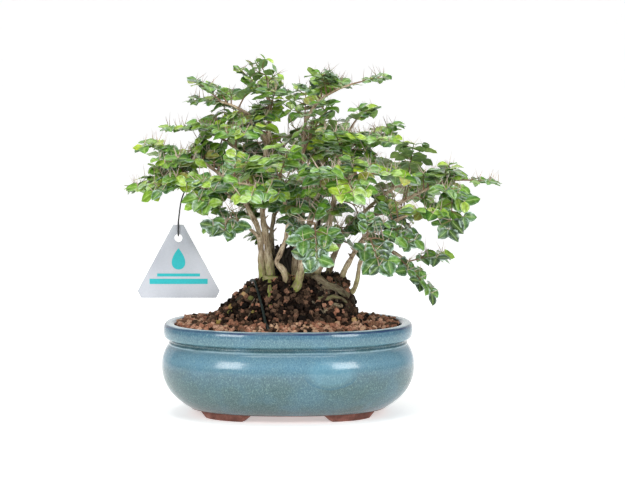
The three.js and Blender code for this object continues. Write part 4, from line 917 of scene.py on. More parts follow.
def granule_places(surface, spacing_at, seed, tries):
    """Places on the soil that keep a distance from each other, each with the soil's normal."""
    rng = random.Random(seed)
    weights = [area for area, _, _ in surface]
    grid = defaultdict(list)
    cell = 4.0
    for _, (a, b, c), normal in rng.choices(surface, weights, k=tries):
        u, v = rng.random(), rng.random()
        if u + v > 1:
            u, v = 1 - u, 1 - v
        point = a + (b - a) * u + (c - a) * v
        spacing = spacing_at(point)
        if not spacing or not in_the_pot(point, 1.3):
            continue
        home = tuple(int(math.floor(value / cell)) for value in point)
        near = (other for x in (-1, 0, 1) for y in (-1, 0, 1) for z in (-1, 0, 1)
                for other in grid[home[0] + x, home[1] + y, home[2] + z])
        if all((other - point).length > spacing for other in near):
            grid[home].append(point)
            yield point, normal


def granule_template(seed):
    """A broken granule: a cube rounded off and pushed about."""
    bm = bmesh.new()
    bm.verts.layers.float.new("tone")
    bmesh.ops.create_cube(bm, size=1)
    bmesh.ops.subdivide_edges(bm, edges=bm.edges, cuts=1, use_grid_fill=True)
    for v in bm.verts:
        lump = 1 + 0.8 * noise.noise(v.co * 1.9 + Vector((seed * 7.3, 0, 0)))
        v.co = v.co.lerp(v.co.normalized() * 0.6, 0.5) * lump
    return as_template("granule", bm)


def strew(places, templates, sizes, tone_at, rng):
    """Stamps granules of mixed sizes at their places, half sunk."""
    bm = bmesh.new()
    for point, normal in places:
        size = rng.uniform(*sizes)
        angle = rng.uniform(0, FULL_TURN)
        turn = Matrix.Rotation(angle, 4, any_way(rng))
        stretch = Matrix.Diagonal((size, size * rng.uniform(0.7, 1), size * rng.uniform(0.6, 0.9), 1))
        rest = Matrix.Translation(point + normal * size * rng.uniform(-0.1, 0.5))
        stamp(bm, rng.choice(templates), rest @ turn @ stretch, tone=tone_at(point, rng))
    return bm


# Wood
def knotty(seed, depth):
    """Relief of bark: long ridges, and lumps where leaves once grew."""
    def relief(grain, radius):
        ridges = noise.noise(Vector((grain.x * 0.9 + seed, grain.y * 0.9, grain.z * 0.12)))
        lumps = noise.noise(Vector((grain.x * 0.3, grain.y * 0.3 + seed, grain.z * 0.22)))
        fine = noise.noise(Vector((grain.x * 1.8, grain.y * 1.8, grain.z * 0.6 + seed)))
        return depth * radius * (0.13 * ridges + 0.2 * lumps + 0.06 * fine)
    return relief


def bark_radius(start, end, seed):
    """A stem swells a little at its foot and at the knots where leaves once grew."""
    phase = random_from(seed)() * 6
    return lambda share: (start + (end - start) * share) * (
        1 + 0.6 * math.exp(-share * 10) + 0.09 * math.sin(share * 31 + phase))


def limb(path, radius_at, sides, seed, tone=0.0, depth=1):
    """A stem, branch or root as a tube with bark relief and a blunt tip."""
    count = max(8, round(curve_length(curve_points(path, 20)) / 2.2))
    points = curve_points(path, count)
    radii = [radius_at(i / count) for i in range(count + 1)]
    tip = points[-1] + (points[-1] - points[-2]).normalized() * radii[-1] * 0.7
    return tube(points + [tip], radii + [radii[-1] * 0.35], sides, knotty(seed, depth), lambda share: tone)


def greened(bm, low, high, strength):
    """Marks algae on a limb, from full at a height to none at another."""
    algae = bm.verts.layers.float.new("algae")
    for v in bm.verts:
        v[algae] = strength * (1 - smooth((v.co.z - low) / (high - low)))
    return bm


def rootlet(start, turn, reach, rng):
    """Points of a thin root that wanders down the mound, half in the soil."""
    place = Vector(start)
    heading = turn
    points = []
    for _ in range(int(reach / 3) + 2):
        points.append(Vector((place.x, place.y, soil_height(place.x, place.y) + rng.uniform(-0.3, 1.0))))
        heading += rng.uniform(-0.5, 0.5)
        place += Vector((math.cos(heading), math.sin(heading), 0)) * 3
    return points


def hanging_root(mass, rng):
    """Points of one wavy root of a mass, from its top down into the soil."""
    top, foot = (Vector([rng.gauss(mass[end][i], mass[spread][i] / 2) for i in range(3)])
                 for end, spread in (("top", "spread"), ("foot", "foot_spread")))
    wave = Vector([rng.uniform(-1.8, 1.8) for _ in range(3)])
    phase = rng.uniform(0, FULL_TURN)
    return [top.lerp(foot, i / 10) + wave * math.sin(phase + i * 0.8) for i in range(11)]


def shoulder_root(rng):
    """Points of a gnarled root that follows the mound from its top outwards."""
    x, y = (rng.gauss(middle, spread / 2) for middle, spread in zip(ROOTSTOCK["centre"], ROOTSTOCK["spread"]))
    heading = math.radians(rng.uniform(*ROOTSTOCK["turn"]))
    points = []
    for _ in range(int(rng.uniform(*ROOTSTOCK["reach"]) / ROOTSTOCK["step"])):
        points.append(Vector((x, y, soil_height(x, y) + rng.uniform(0.2, 1.4))))
        heading += rng.uniform(-0.45, 0.45)
        x += ROOTSTOCK["step"] * math.cos(heading)
        y += ROOTSTOCK["step"] * math.sin(heading)
    return points


def dead_stub(path, rng):
    """Points of a short broken twig that stands off a stem."""
    share = rng.uniform(0.1, 0.5)
    start = curve_point(path, share)
    turn = rng.uniform(0, FULL_TURN)
    way = Vector((math.cos(turn), math.sin(turn), rng.uniform(0.1, 0.9))).normalized()
    reach = rng.uniform(*STUBS["long"])
    return [start, start + way * reach * 0.6, start + way * reach + UP * rng.uniform(-0.5, 1.0)]


# Foliage
def limb_path(name):
    return (STEMS.get(name) or BRANCHES[name])[2]


def cross_frame(point, along, upward):
    over = (upward - along * upward.dot(along)).normalized()
    return {"point": point, "along": along, "over": over, "across": over.cross(along)}


class TwigPlan:
    """Where one twig's nodes are and what grows from them, drawn in the same order as in the CAD model."""

    def __init__(self, start, tip, bend, spread, leaf, seed):
        self.draw = random_from(seed)
        self.start = start
        self.end = tip
        self.middle = start.lerp(tip, 0.5) + Vector(bend)
        self.spread = spread
        self.leaf = leaf
        self.bare = False
        chord = (tip - start).normalized()
        upward = chord.cross(UP.cross(chord).normalized())
        length = curve_length([self.point(i / 200) for i in range(201)])
        count = max(4, math.floor(length / SPRAY["pitch"] + 0.5))
        self.nodes = []
        self.sides = []
        for i in range(1, count + 1):
            last = i == count
            share = 1 if last else SPRAY["bare"] + (1 - SPRAY["bare"]) * i / count
            place = cross_frame(self.point(share), self.way(share), upward)
            self.nodes.append(self.grown(place, 0.75 if last else 1 - 0.2 * share))
            if spread and not last:
                self.grow_side(place, 1 if i % 2 else -1, share)

    def point(self, share):
        return (self.start * (1 - share) ** 2 + self.middle * 2 * share * (1 - share) + self.end * share**2)

    def way(self, share):
        return ((self.middle - self.start) * (1 - share) + (self.end - self.middle) * share).normalized()

    def between(self, low, high):
        return low + (high - low) * self.draw()

    def grown(self, place, size):
        outward = (place["point"] - CANOPY).normalized()
        leaves = []
        for hand in (-1, 1):
            turn = math.radians(self.between(48, 76))
            axis = place["along"] * math.cos(turn) + place["across"] * hand * math.sin(turn) + outward * 0.2
            axis.z += self.between(-0.5, 0.12)
            face = place["over"] + UP * 0.4 + outward * self.between(0.2, 1.2)
            face += Vector((self.between(-0.35, 0.35), self.between(-0.35, 0.35), 0))
            long = self.leaf * size * self.between(0.72, 1.04)
            leaves.append((axis.normalized(), face, long, long * self.between(0.68, 0.86)))
        spine = place["over"] + place["across"] * self.between(-0.8, 0.8)
        spine += place["along"] * self.between(-0.2, 0.5)
        return {**place, "leaves": leaves, "spine": (spine.normalized(), self.between(8, 14))}

    def grow_side(self, place, hand, share):
        turn = math.radians(self.between(42, 66))
        way = place["along"] * math.cos(turn) + place["across"] * hand * math.sin(turn)
        way.z += self.between(-0.12, 0.3)
        way.normalize()
        reach = self.spread * (1 - 0.5 * share) * self.between(0.75, 1.05)
        pairs = max(1, math.floor(reach / SPRAY["pitch"] + 0.5))
        for j in range(1, pairs + 1):
            point = place["point"] + way * reach * j / pairs
            self.nodes.append(self.grown(cross_frame(point, way, place["over"]), 0.95 - 0.2 * j / pairs))
        self.sides.append((place["point"], way, reach))


def spray_plan(name, index):
    on, at, tip, spread, leaf, bend = SPRAYS[name]
    return TwigPlan(curve_point(limb_path(on), at), Vector(tip), bend, spread, leaf, SPRAY["seed"] + index)


def in_canopy(point):
    """Whether a point is between the canopy's lower and upper limits, and not in the gap between its
    layers."""
    if math.hypot((point.x - SKY_GAP["x"]) / SKY_GAP["wide"], (point.z - SKY_GAP["z"]) / SKY_GAP["tall"]) < 1:
        return False
    for (x0, low0, high0), (x1, low1, high1) in zip(CANOPY_LIMITS, CANOPY_LIMITS[1:]):
        if x0 <= point.x <= x1:
            share = (point.x - x0) / (x1 - x0)
            lowest = low0 + (low1 - low0) * share - (BACK_DROP if point.y > BACK_FROM else 0)
            return lowest < point.z < high0 + (high1 - high0) * share and fits([point])
    return False


def shoot_plans(limbs, first_seed, rng):
    """Short leafy shoots that stand off the limbs and fill the canopy between the sprays."""
    for name in limbs:
        path = limb_path(name)
        length = curve_length(curve_points(path, 20))
        count = round(length / SHOOT["pitch"])
        for i in range(count):
            share = (i + rng.random()) / count
            start = curve_point(path, share)
            if start.z < SHOOT["lowest"]:
                continue
            along = (curve_point(path, min(1, share + 0.02)) - curve_point(path, share - 0.02)).normalized()
            way = any_way(rng)
            way += (start - CANOPY).normalized() * 0.5 + UP * rng.uniform(-0.1, 0.5)
            way = (way - along * along.dot(way) * 0.5).normalized()
            tip = start + way * rng.uniform(*SHOOT["reach"])
            if not (in_canopy(tip) and in_canopy(start + UP * SHOOT["rise"])):
                continue
            first_seed += 1
            bend = (0, 0, rng.uniform(1, 4))
            plan = TwigPlan(start, tip, bend, 0, rng.uniform(*SHOOT["leaf"]), first_seed)
            plan.bare = (start - CANOPY).length < INNER["reach"] and rng.random() < INNER["share"]
            yield plan


def lay_out(bm, place):
    """Gives each corner of a template the UV that place(position) says."""
    layer = bm.loops.layers.uv.new("UVMap")
    for face in bm.faces:
        for loop in face.loops:
            loop[layer].uv = place(loop.vert.co)


def leaf_width(along):
    """Half a leaf's width at a share of its length: round at the base and pointed at the tip."""
    return 0.5 * along**0.5 * (1 - along) ** 0.7 / 0.443


def leaf_template(fold, curl, wave, phase, settings):
    """A thin ovate blade, 1 long and 1 wide: folded along the midrib, arched along its length, wavy at the
    edge."""
    bm = bmesh.new()
    under = bm.verts.layers.float.new("under")
    for name in ("tone", "bloom"):
        bm.verts.layers.float.new(name)
    bmesh.ops.create_grid(bm, x_segments=4, y_segments=5, size=0.5)
    lay_out(bm, lambda at: (at.x + 0.5, at.y + 0.5))
    for v in bm.verts:
        along = v.co.y + 0.5
        aside = 2 * v.co.x
        half = leaf_width(along)
        lift = fold * abs(aside) * half - curl * along**2 + wave * math.sin(along * 8 + phase) * aside * half
        v.co = (aside * half, along, lift - 0.12 * half * aside**2)
    thickness = settings.leaf_thickness / MM / LEAF_LENGTH
    below = bmesh.ops.solidify(bm, geom=bm.faces[:], thickness=thickness)["geom"]
    for v in verts_of(below):
        v[under] = 1
    bmesh.ops.remove_doubles(bm, verts=bm.verts, dist=1e-4)
    bmesh.ops.recalc_face_normals(bm, faces=bm.faces)
    return as_template("leaf", bm, slot=1)


def spine_template(bow):
    """A needle 1 long and 1 thick at its base, slightly bowed."""
    bm = bmesh.new()
    bm.verts.layers.float.new("tone")
    bmesh.ops.create_cone(bm, cap_ends=True, segments=5, radius1=0.5, radius2=0.06, depth=1)
    bmesh.ops.translate(bm, vec=UP / 2, verts=bm.verts)
    upright = [edge for edge in bm.edges if abs(edge.verts[0].co.z - edge.verts[1].co.z) > 0.5]
    bmesh.ops.subdivide_edges(bm, edges=upright, cuts=2)
    lay_out(bm, lambda at: (0.5, at.z))
    for v in bm.verts:
        v.co.x += bow * v.co.z * (1 - v.co.z)
    bmesh.ops.recalc_face_normals(bm, faces=bm.faces)
    return as_template("spine", bm, slot=2)


def turned_to(origin, across, along, over, wide, long, thick):
    """A matrix with these axes and sizes, standing at an origin."""
    matrix = Matrix((across * wide, along * long, over * thick)).transposed().to_4x4()
    matrix.translation = origin
    return matrix


def fits(points):
    """Whether points are inside the CAD model's box, with room for a blade's fold and thickness."""
    low, high = REACH
    return all(low[i] + BOX_ROOM < point[i] < high[i] - BOX_ROOM for point in points for i in range(3))


def add_leaf(bm, templates, base, leaf, tone, bloom, rng):
    """Stamps one leaf, shortened where the CAD model's box needs it."""
    axis, face, long, wide = leaf
    across = axis.cross(face).normalized()
    over = across.cross(axis)
    shape = wide / long
    while long > 5:
        sag = over * 0.2 * long
        edge = base + axis * long * 0.45
        tips = [base + axis * long - sag, edge + across * shape * long / 2, edge - across * shape * long / 2]
        if fits(tips):
            matrix = turned_to(base, across, axis, over, shape * long, long, long)
            stamp(bm, rng.choice(templates), matrix, tone=tone, bloom=bloom)
            return
        long *= 0.85


def hides_tag_wire(middle):
    """Whether a leaf with its middle here hangs in front of the tag's wire, which the photo shows whole."""
    x, y, _ = TAG["centre"]
    return abs(middle.x - x - 3) < TAG_WIRE["seen"] and middle.y < y and middle.z < TAG_WIRE["seen_to"]


def add_spine(bm, templates, base, axis, long, thick, tone, rng):
    if not fits([base + axis * long]):
        return
    aside = axis.orthogonal().normalized()
    aside.rotate(Matrix.Rotation(rng.uniform(0, FULL_TURN), 3, axis))
    matrix = turned_to(base, aside, axis.cross(aside), axis, thick, thick, long)
    stamp(bm, rng.choice(templates), matrix, tone=tone)


def grow_node(bm, node, bare, leaves, spines, rng, settings):
    """One pair of leaves, unless the twig is bare, and one pair of spines."""
    point = node["point"]
    off = point - CANOPY
    outer = min(1, Vector([off[i] / CANOPY_HALF[i] for i in range(3)]).length)
    # Leaves are yellower at the canopy's outside, where they are young; their darker green towards the middle stands
    # for older leaves and is also painted shade
    young = (TONE["inside"] + TONE["outside"] * outer - TONE["right"] * smooth((point.x - 40) / 60)
             - TONE["top"] * smooth((point.z - 215) / 40))
    low_front = point.z < LOW_LEAVES and point.y < 0
    to_light = Vector((0, LIGHT_LEAN * (2 * smooth((point.y + 5) / 60) - 1), 0))
    for axis, face, long, wide in () if bare else node["leaves"]:
        leaf = (axis, face + to_light, long, wide)
        tone = min(1, max(0, rng.gauss(TONE["low_front"] if low_front else young, TONE["spread"])))
        if rng.random() < settings.bright_share and not low_front:
            tone = rng.uniform(0.64, 1)
        # Painted reflection on the margins: strongest on the low front leaves
        bloom = rng.uniform(0.35, 1.05) if low_front else rng.uniform(-0.15, 0.68)
        if not hides_tag_wire(point + axis * long * 0.5):
            add_leaf(bm, leaves, point, leaf, tone, bloom, rng)
    axis, long = node["spine"]
    if bare:
        long *= INNER["spine"]
        axis = (axis + Vector([rng.uniform(-0.9, 0.9) for _ in range(3)])).normalized()
    aged = 1 - rng.random() * 0.5 if point.z > 225 else rng.random() * 0.45
    twin = (axis - node["across"] * 2 * axis.dot(node["across"])).normalized()
    for way, share in ((axis, 1), (twin, rng.uniform(0.7, 1))):
        if rng.random() < settings.spine_share:
            add_spine(bm, spines, point, way, long * share, settings.spine_thickness / MM, aged, rng)


def grow(plan, leaves, spines, settings, rng):
    """One twig: its bark, side twigs, leaves and spines."""
    count = 2 * len(plan.sides) + 5
    points = [plan.point(i / count) for i in range(count + 1)]
    radii = [SPRAY["twig"] + (SPRAY["tip"] - SPRAY["twig"]) * i / count for i in range(count + 1)]
    bm = tube(points, radii, 6, tone=lambda share: share * 0.9)
    for root, way, reach in plan.sides:
        rows = 4
        bend = Vector([rng.uniform(-0.05, 0.05) for _ in range(3)]) * reach
        side = [root + way * reach * i / rows + bend * math.sin(math.pi * i / rows) for i in range(rows + 1)]
        thin = [SPRAY["side"] + (SPRAY["tip"] - SPRAY["side"]) * i / rows for i in range(rows + 1)]
        absorb(bm, tube(side, thin, 5, tone=lambda share: 0.4 + 0.6 * share))
    for node in plan.nodes:
        grow_node(bm, node, plan.bare, leaves, spines, rng, settings)
    return bm


# Wires and tag
def ringed(points):
    """A line that closes on itself, with its first points repeated so that a tube's ends meet inside."""
    return points + points[:2]


def wire(points, radius, sides=10):
    return tube(points, [radius] * len(points), sides)


def anchor_route():
    route = [(x, y, soil_height(x, y) + ANCHOR["radius"] + lift) for x, y, lift in ANCHOR["route"]]
    first, last = route[0], route[-1]
    down = ANCHOR["bury"]
    return [(first[0], first[1] - 1, first[2] - down), *route, (last[0], last[1] + 1, last[2] - down)]


def tag_outline():
    """The plate's corners, from the top left anticlockwise seen from the front."""
    x, _, z = TAG["centre"]
    half, tall, top = TAG["width"] / 2, TAG["height"] / 2, TAG["top"] / 2
    rise, cut = TAG["corner_rise"], TAG["corner_inset"]
    shape = [(-top, tall), (-half, -tall + rise), (-half + cut, -tall), (half - cut, -tall),
             (half, -tall + rise),
             (top, tall)]
    return [(x + across, z + up) for across, up in shape]


def plate(outline, front, thick, rounding):
    """A flat plate in the XZ plane, from its outline, with softened edges."""
    bm = bmesh.new()
    face = bm.faces.new([bm.verts.new((across, front, up)) for across, up in outline])
    back = bmesh.ops.extrude_face_region(bm, geom=[face])["geom"]
    bmesh.ops.translate(bm, vec=(0, thick, 0), verts=verts_of(back))
    if rounding:
        bmesh.ops.bevel(bm, geom=bm.edges[:], offset=rounding, affect="EDGES", segments=2, profile=0.5,
                        material=-1)
    bmesh.ops.recalc_face_normals(bm, faces=bm.faces)
    return bm


# What a user may change
class PotSettings(bpy.types.PropertyGroup):
    steps: IntProperty(name="Steps", description="Faces round the pot", default=144, min=32, max=400)
    glaze_tint: FloatVectorProperty(
        name="Glaze tint", description="Multiplies the glaze's colours", subtype="COLOR", default=(1, 1, 1),
        min=0, max=2)
    clay_tint: FloatVectorProperty(
        name="Clay tint", description="Multiplies the bare clay's colours", subtype="COLOR",
        default=(1, 1, 1),
        min=0, max=2)


class SoilSettings(bpy.types.PropertyGroup):
    granule: FloatProperty(
        name="Granule", description="Mean size of the granules on the level bed", default=3.5 * MM,
        unit="LENGTH")
    crumb: FloatProperty(
        name="Crumb", description="Mean size of the granules on the mound", default=3.1 * MM, unit="LENGTH")
    rootlets: IntProperty(name="Rootlets", description="Thin roots on the mound", default=22, min=0)
    tint: FloatVectorProperty(
        name="Tint", description="Multiplies the granules' colours", subtype="COLOR", default=(1, 1, 1),
        min=0, max=2)


class WoodSettings(bpy.types.PropertyGroup):
    sides: IntProperty(name="Sides", description="Faces round a stem", default=14, min=6, max=32)
    bark_tint: FloatVectorProperty(
        name="Bark tint", description="Multiplies the bark's colours", subtype="COLOR", default=(1, 1, 1),
        min=0, max=2)


class FoliageSettings(bpy.types.PropertyGroup):
    leaf_thickness: FloatProperty(
        name="Leaf thickness", description="Thickness of a blade 14 mm long", default=0.35 * MM,
        unit="LENGTH")
    spine_thickness: FloatProperty(
        name="Spine thickness", description="Width of a spine at its base", default=0.66 * MM, unit="LENGTH")
    spine_share: FloatProperty(
        name="Spines", description="Share of spines that haven't broken off", default=0.75, subtype="FACTOR",
        min=0, max=1)
    bright_share: FloatProperty(
        name="Young leaves", description="Share of leaves that are yellow-green or olive", default=0.09,
        subtype="FACTOR", min=0, max=1)
    leaf_tint: FloatVectorProperty(
        name="Leaf tint", description="Multiplies the leaves' colours", subtype="COLOR", default=(1, 1, 1),
        min=0, max=2)


class TagSettings(bpy.types.PropertyGroup):
    ink: FloatVectorProperty(
        name="Ink", description="Colour of the print on the tag", subtype="COLOR",
        default=linear("17A9AE")[:3],
        min=0, max=1)


class StageSettings(bpy.types.PropertyGroup):
    lens: FloatProperty(name="Lens", description="Focal length of the camera", default=100.8, unit="CAMERA")
    pitch: FloatProperty(
        name="Pitch", description="How far the camera looks down", default=math.radians(4.14),
        unit="ROTATION")
    box_power: FloatProperty(name="Softbox", description="Power of each softbox", default=7.0, unit="POWER")
    top_power: FloatProperty(name="Top light", description="Power of the light overhead", default=15.0,
                             unit="POWER")
    surround: FloatProperty(name="Surround", description="Brightness of the white surround", default=0.27,
                            min=0)


SETTINGS = {
    "bonsai_pot": PotSettings,
    "bonsai_soil": SoilSettings,
    "bonsai_wood": WoodSettings,
    "bonsai_foliage": FoliageSettings,
    "bonsai_tag": TagSettings,
    "bonsai_stage": StageSettings,
}


# Operators
class BONSAI_OT_pot(bpy.types.Operator):
    """Build the glazed pot with its feet and drain holes"""
    bl_idname = "bonsai.pot"
    bl_label = "Pot"

    def execute(self, context):
        settings = context.scene.bonsai_pot
        bm = pot_body(settings.steps)
        materials = [celadon_glaze(settings), bare_stoneware(settings)]
        pot = finished("oval_pot", bm, materials, ["pot"])
        drills = bmesh.new()
        for end in (-1, 1):
            add_drill(drills, DRAIN["radius"], 40, Matrix.Translation((end * DRAIN["offset"], 0, 10)))
        drilled(pot, drills)
        feet = bmesh.new()
        for side in (0, 180):
            for end in (-1, 1):
                absorb(feet, foot(side + end * FOOT["centre"]))
        finished("pot_feet", feet, materials)
        return {"FINISHED"}


class BONSAI_OT_drain_meshes(bpy.types.Operator):
    """Finish the plastic meshes over the drain holes"""
    bl_idname = "bonsai.drain_meshes"
    bl_label = "Drain meshes"

    def execute(self, context):
        plastic = moulded_mesh_plastic()
        for node in ("drain_mesh_left", "drain_mesh_right"):
            refinished(node, plastic)
        return {"FINISHED"}


class BONSAI_OT_soil(bpy.types.Operator):
    """Cover the soil with granules and darker crumbs on the mound"""
    bl_idname = "bonsai.soil"
    bl_label = "Soil"

    def execute(self, context):
        settings = context.scene.bonsai_soil
        refinished("soil", damp_potting_soil())
        granules = fired_clay_granules(settings)
        templates = [granule_template(seed) for seed in range(12)]
        surface = soil_surface()
        rng = random.Random(77)
        level = SOIL_EDGE + 2.6

        strap = curve_points(anchor_route(), 30)

        def under_strap(point):
            return any((point - place).length < ANCHOR["clear"] for place in strap)

        def bed_spacing(point):
            if point.z > level + rng.uniform(0, 3) or under_strap(point):
                return 0
            return LAYERS["bed_granules"]["spacing"] * settings.granule / MM

        def mound_spacing(point):
            if point.z < level - 0.5 or under_strap(point):
                return 0
            return LAYERS["mound_crumbs"]["spacing"] * settings.crumb / MM

        def bed_tone(point, rng):
            return min(0.8, rng.choice((rng.gauss(0.62, 0.11), rng.gauss(0.77, 0.08), rng.gauss(0.35, 0.15))))

        def mound_tone(point, rng):
            if rng.random() < 0.015:
                return rng.uniform(0.84, 1)
            dark = smooth((point.z - SOIL_EDGE) / 16 + 0.25)
            return max(0, min(0.84, rng.gauss(0.52 - 0.26 * dark, 0.19)))

        for name, size, spacing, tone in (
            ("bed_granules", settings.granule / MM, bed_spacing, bed_tone),
            ("mound_crumbs", settings.crumb / MM, mound_spacing, mound_tone),
        ):
            layer = LAYERS[name]
            places = granule_places(surface, spacing, layer["seed"], layer["tries"])
            bm = strew(places, templates, [share * size for share in layer["sizes"]], tone, rng)
            finished(name, bm, [granules], crease=GRANULE_CREASE)
        for template in templates:
            bpy.data.meshes.remove(template)
        return {"FINISHED"}


class BONSAI_OT_wood(bpy.types.Operator):
    """Build the stems, branches and roots with their bark"""
    bl_idname = "bonsai.wood"
    bl_label = "Wood"

    def execute(self, context):
        settings = context.scene.bonsai_wood
        rng = random.Random(31)
        bm = bmesh.new()
        for layer in ("tone", "algae"):
            bm.verts.layers.float.new(layer)
        for i, (name, (start, end, path)) in enumerate(STEMS.items()):
            stem = limb(path, bark_radius(start, end, 60 + i), settings.sides, i * 3.7,
                        STEM_TONES.get(name, 0))
            absorb(bm, greened(stem, *ALGAE.get(name, ALGAE["others"])))
        for i, (start, end, path) in enumerate(BRANCHES.values()):
            absorb(bm, limb(path, steady(start, end, 0.3), settings.sides - 4, 50 + i * 2.9))
        for i, (start, end, path) in enumerate(ROOTS):
            sunk = [(x, y, z - ROOT_SINK) for x, y, z in path]
            # Painted shade: the tone 0.9 darkens these roots towards near black
            root = limb(sunk, steady(start, end), settings.sides, 90 + i * 5.1, 0.9, 2)
            absorb(bm, greened(root, 95, 112, 0.25))
        for i, (start, end, tone, algae, path) in enumerate(SHOULDER_ROOTS):
            laid = [(x, y, soil_height(x, y) + lift) for x, y, lift in path]
            root = limb(laid, steady(start, end), settings.sides, 140 + i * 6.3, tone, 3)
            absorb(bm, greened(root, 80, 140, 2 * algae))
        for _ in range(context.scene.bonsai_soil.rootlets):
            angle = rng.uniform(0, FULL_TURN)
            start = (10 + 30 * math.cos(angle), -3 + 20 * math.sin(angle), 0)
            points = rootlet(start, angle, rng.uniform(*ROOTLET["reach"]), rng)
            radii = thinned(rng.uniform(*ROOTLET["thick"]), len(points), 0.6)
            absorb(bm, tube(points, radii, 6, tone=lambda share: ROOTLET["tone"]))
        for mass in ROOT_MASSES:
            for _ in range(mass["count"]):
                points = hanging_root(mass, rng)
                thick = rng.uniform(*mass["thick"])
                # Their near black tone is painted shade in the hollow between the stems
                absorb(bm, tube(points, [thick * (1 - 0.05 * i) for i in range(11)], 6,
                                tone=lambda share: 0.97))
        for i in range(ROOTSTOCK["count"]):
            points = shoulder_root(rng)
            thick = rng.uniform(*ROOTSTOCK["thick"])
            radii = thinned(thick, len(points), 0.6)
            dark = rng.uniform(*ROOTSTOCK["tones"])
            absorb(bm, tube(points, radii, 9, knotty(120 + i * 4.3, 2), lambda share: dark))
        for path in (path for _, _, path in STEMS.values()):
            for _ in range(STUBS["per_stem"]):
                points = dead_stub(path, rng)
                if STUBS["low"] < points[0].z < STUBS["high"]:
                    thick = rng.uniform(*STUBS["thick"])
                    absorb(bm, tube(points, [thick, thick * 0.8, thick * 0.4], 6, tone=lambda share: 0.3))
        finished("barked_wood", bm, [smooth_bark(settings)], ["wood"])
        return {"FINISHED"}


class BONSAI_OT_foliage(bpy.types.Operator):
    """Build the sprays with their twigs, leaves and spines"""
    bl_idname = "bonsai.foliage"
    bl_label = "Foliage"

    def execute(self, context):
        settings = context.scene.bonsai_foliage
        materials = [young_twig_bark(), leathery_leaf(settings), needle_spine()]
        leaves = [leaf_template(0.16, 0.16, 0.08, 0, settings), leaf_template(0.28, 0.1, 0.12, 1.5, settings),
                  leaf_template(0.08, 0.22, 0.14, 3.0, settings),
                  leaf_template(0.4, 0.16, 0.06, 4.5, settings)]
        spines = [spine_template(0.0), spine_template(0.16)]
        for index, name in enumerate(SPRAYS):
            bm = grow(spray_plan(name, index), leaves, spines, settings, random.Random(900 + index))
            finished("foliage_" + name, bm, materials, ["spray_" + name])
        for seed, (name, limbs) in enumerate({"stem_shoots": STEMS, "branch_shoots": BRANCHES}.items()):
            rng = random.Random(40 + seed)
            bm = bmesh.new()
            for plan in shoot_plans(limbs, 5000 * (seed + 1), rng):
                absorb(bm, grow(plan, leaves, spines, settings, rng))
            finished(name, bm, materials)
        for template in leaves + spines:
            bpy.data.meshes.remove(template)
        return {"FINISHED"}


class BONSAI_OT_anchor_wire(bpy.types.Operator):
    """Build the wire that holds the root ball down"""
    bl_idname = "bonsai.anchor_wire"
    bl_label = "Anchor wire"

    def execute(self, context):
        bm = wire(curve_points(anchor_route(), 90), ANCHOR["radius"], 12)
        dark = anodised_wire("dark_anodised_wire", "27302F", "5A6865")
        finished("training_wire", bm, [dark], ["anchor_wire"])
        return {"FINISHED"}


class BONSAI_OT_tag(bpy.types.Operator):
    """Build the frosted tag with its print, and the wire that it hangs by"""
    bl_idname = "bonsai.tag"
    bl_label = "Tag"

    def execute(self, context):
        x, y, z = TAG["centre"]
        front = y - TAG["thick"] / 2
        body = plate(tag_outline(), front, TAG["thick"], 0.12)
        tag = finished("frosted_tag", body, [frosted_polypropylene()], ["tag"], crease=40)
        hole_z = z + TAG["height"] / 2 - TAG["hole_drop"]
        drill = bmesh.new()
        place = Matrix.Translation((x, y, hole_z)) @ Matrix.Rotation(math.pi / 2, 4, "X")
        add_drill(drill, TAG["hole"], 6, place)
        drilled(tag, drill)
        ink = screen_ink(context.scene.bonsai_tag)
        print_front = front - PRINT["off"]
        wide, tall, lift = PRINT["drop"]
        drop = [(x + wide * math.sin(t) * math.sin(t / 2), z + lift + tall * math.cos(t))
                for t in turns_of(36)]
        bm = plate(drop, print_front, PRINT["thick"], 0)
        for width, height, up in PRINT["bars"]:
            corners = [(x + side * width / 2, z + up + rise) for side, rise in
                       ((-1, 0), (1, 0), (1, height), (-1, height))]
            absorb(bm, plate(corners, print_front, PRINT["thick"], 0))
        finished("tag_print", bm, [ink])
        start, end, path = BRANCHES[TAG_WIRE["branch"]]
        held = curve_point(path, TAG_WIRE["at"])
        after = curve_point(path, TAG_WIRE["at"] + 0.001)
        thin = TAG_WIRE["radius"]
        loop = (start + (end - start) * TAG_WIRE["at"]) * 1.1 + thin + TAG_WIRE["clear"]
        turn = (after - held).normalized().to_track_quat("Z", "Y").to_matrix()
        ring = [held + turn @ Vector((math.cos(a), math.sin(a), 0)) * loop for a in turns_of(24)]
        bm = wire(ringed(ring), thin)
        low = hole_z + TAG["hole"] - 2 * TAG_WIRE["clear"] - 1.2 * thin
        high = z + TAG["height"] / 2 + 2.5
        depth = TAG["thick"] / 2 + thin + TAG_WIRE["clear"] + 0.5
        middle, half = (low + high) / 2, (high - low) / 2
        hook = [Vector((x, y + depth * math.cos(a), middle + half * math.sin(a))) for a in turns_of(24)]
        absorb(bm, wire(ringed(hook), thin))
        hung = held - UP * loop
        straight = [hung, (x + 2.5, y, (hung.z + high) / 2 + 2), (x, y, high)]
        absorb(bm, wire(curve_points(straight, 24), thin))
        thin_wire = anodised_wire("thin_black_wire", "1A1A1C", "3C3E42")
        finished("hanging_wire", bm, [thin_wire], ["tag_wire"])
        return {"FINISHED"}


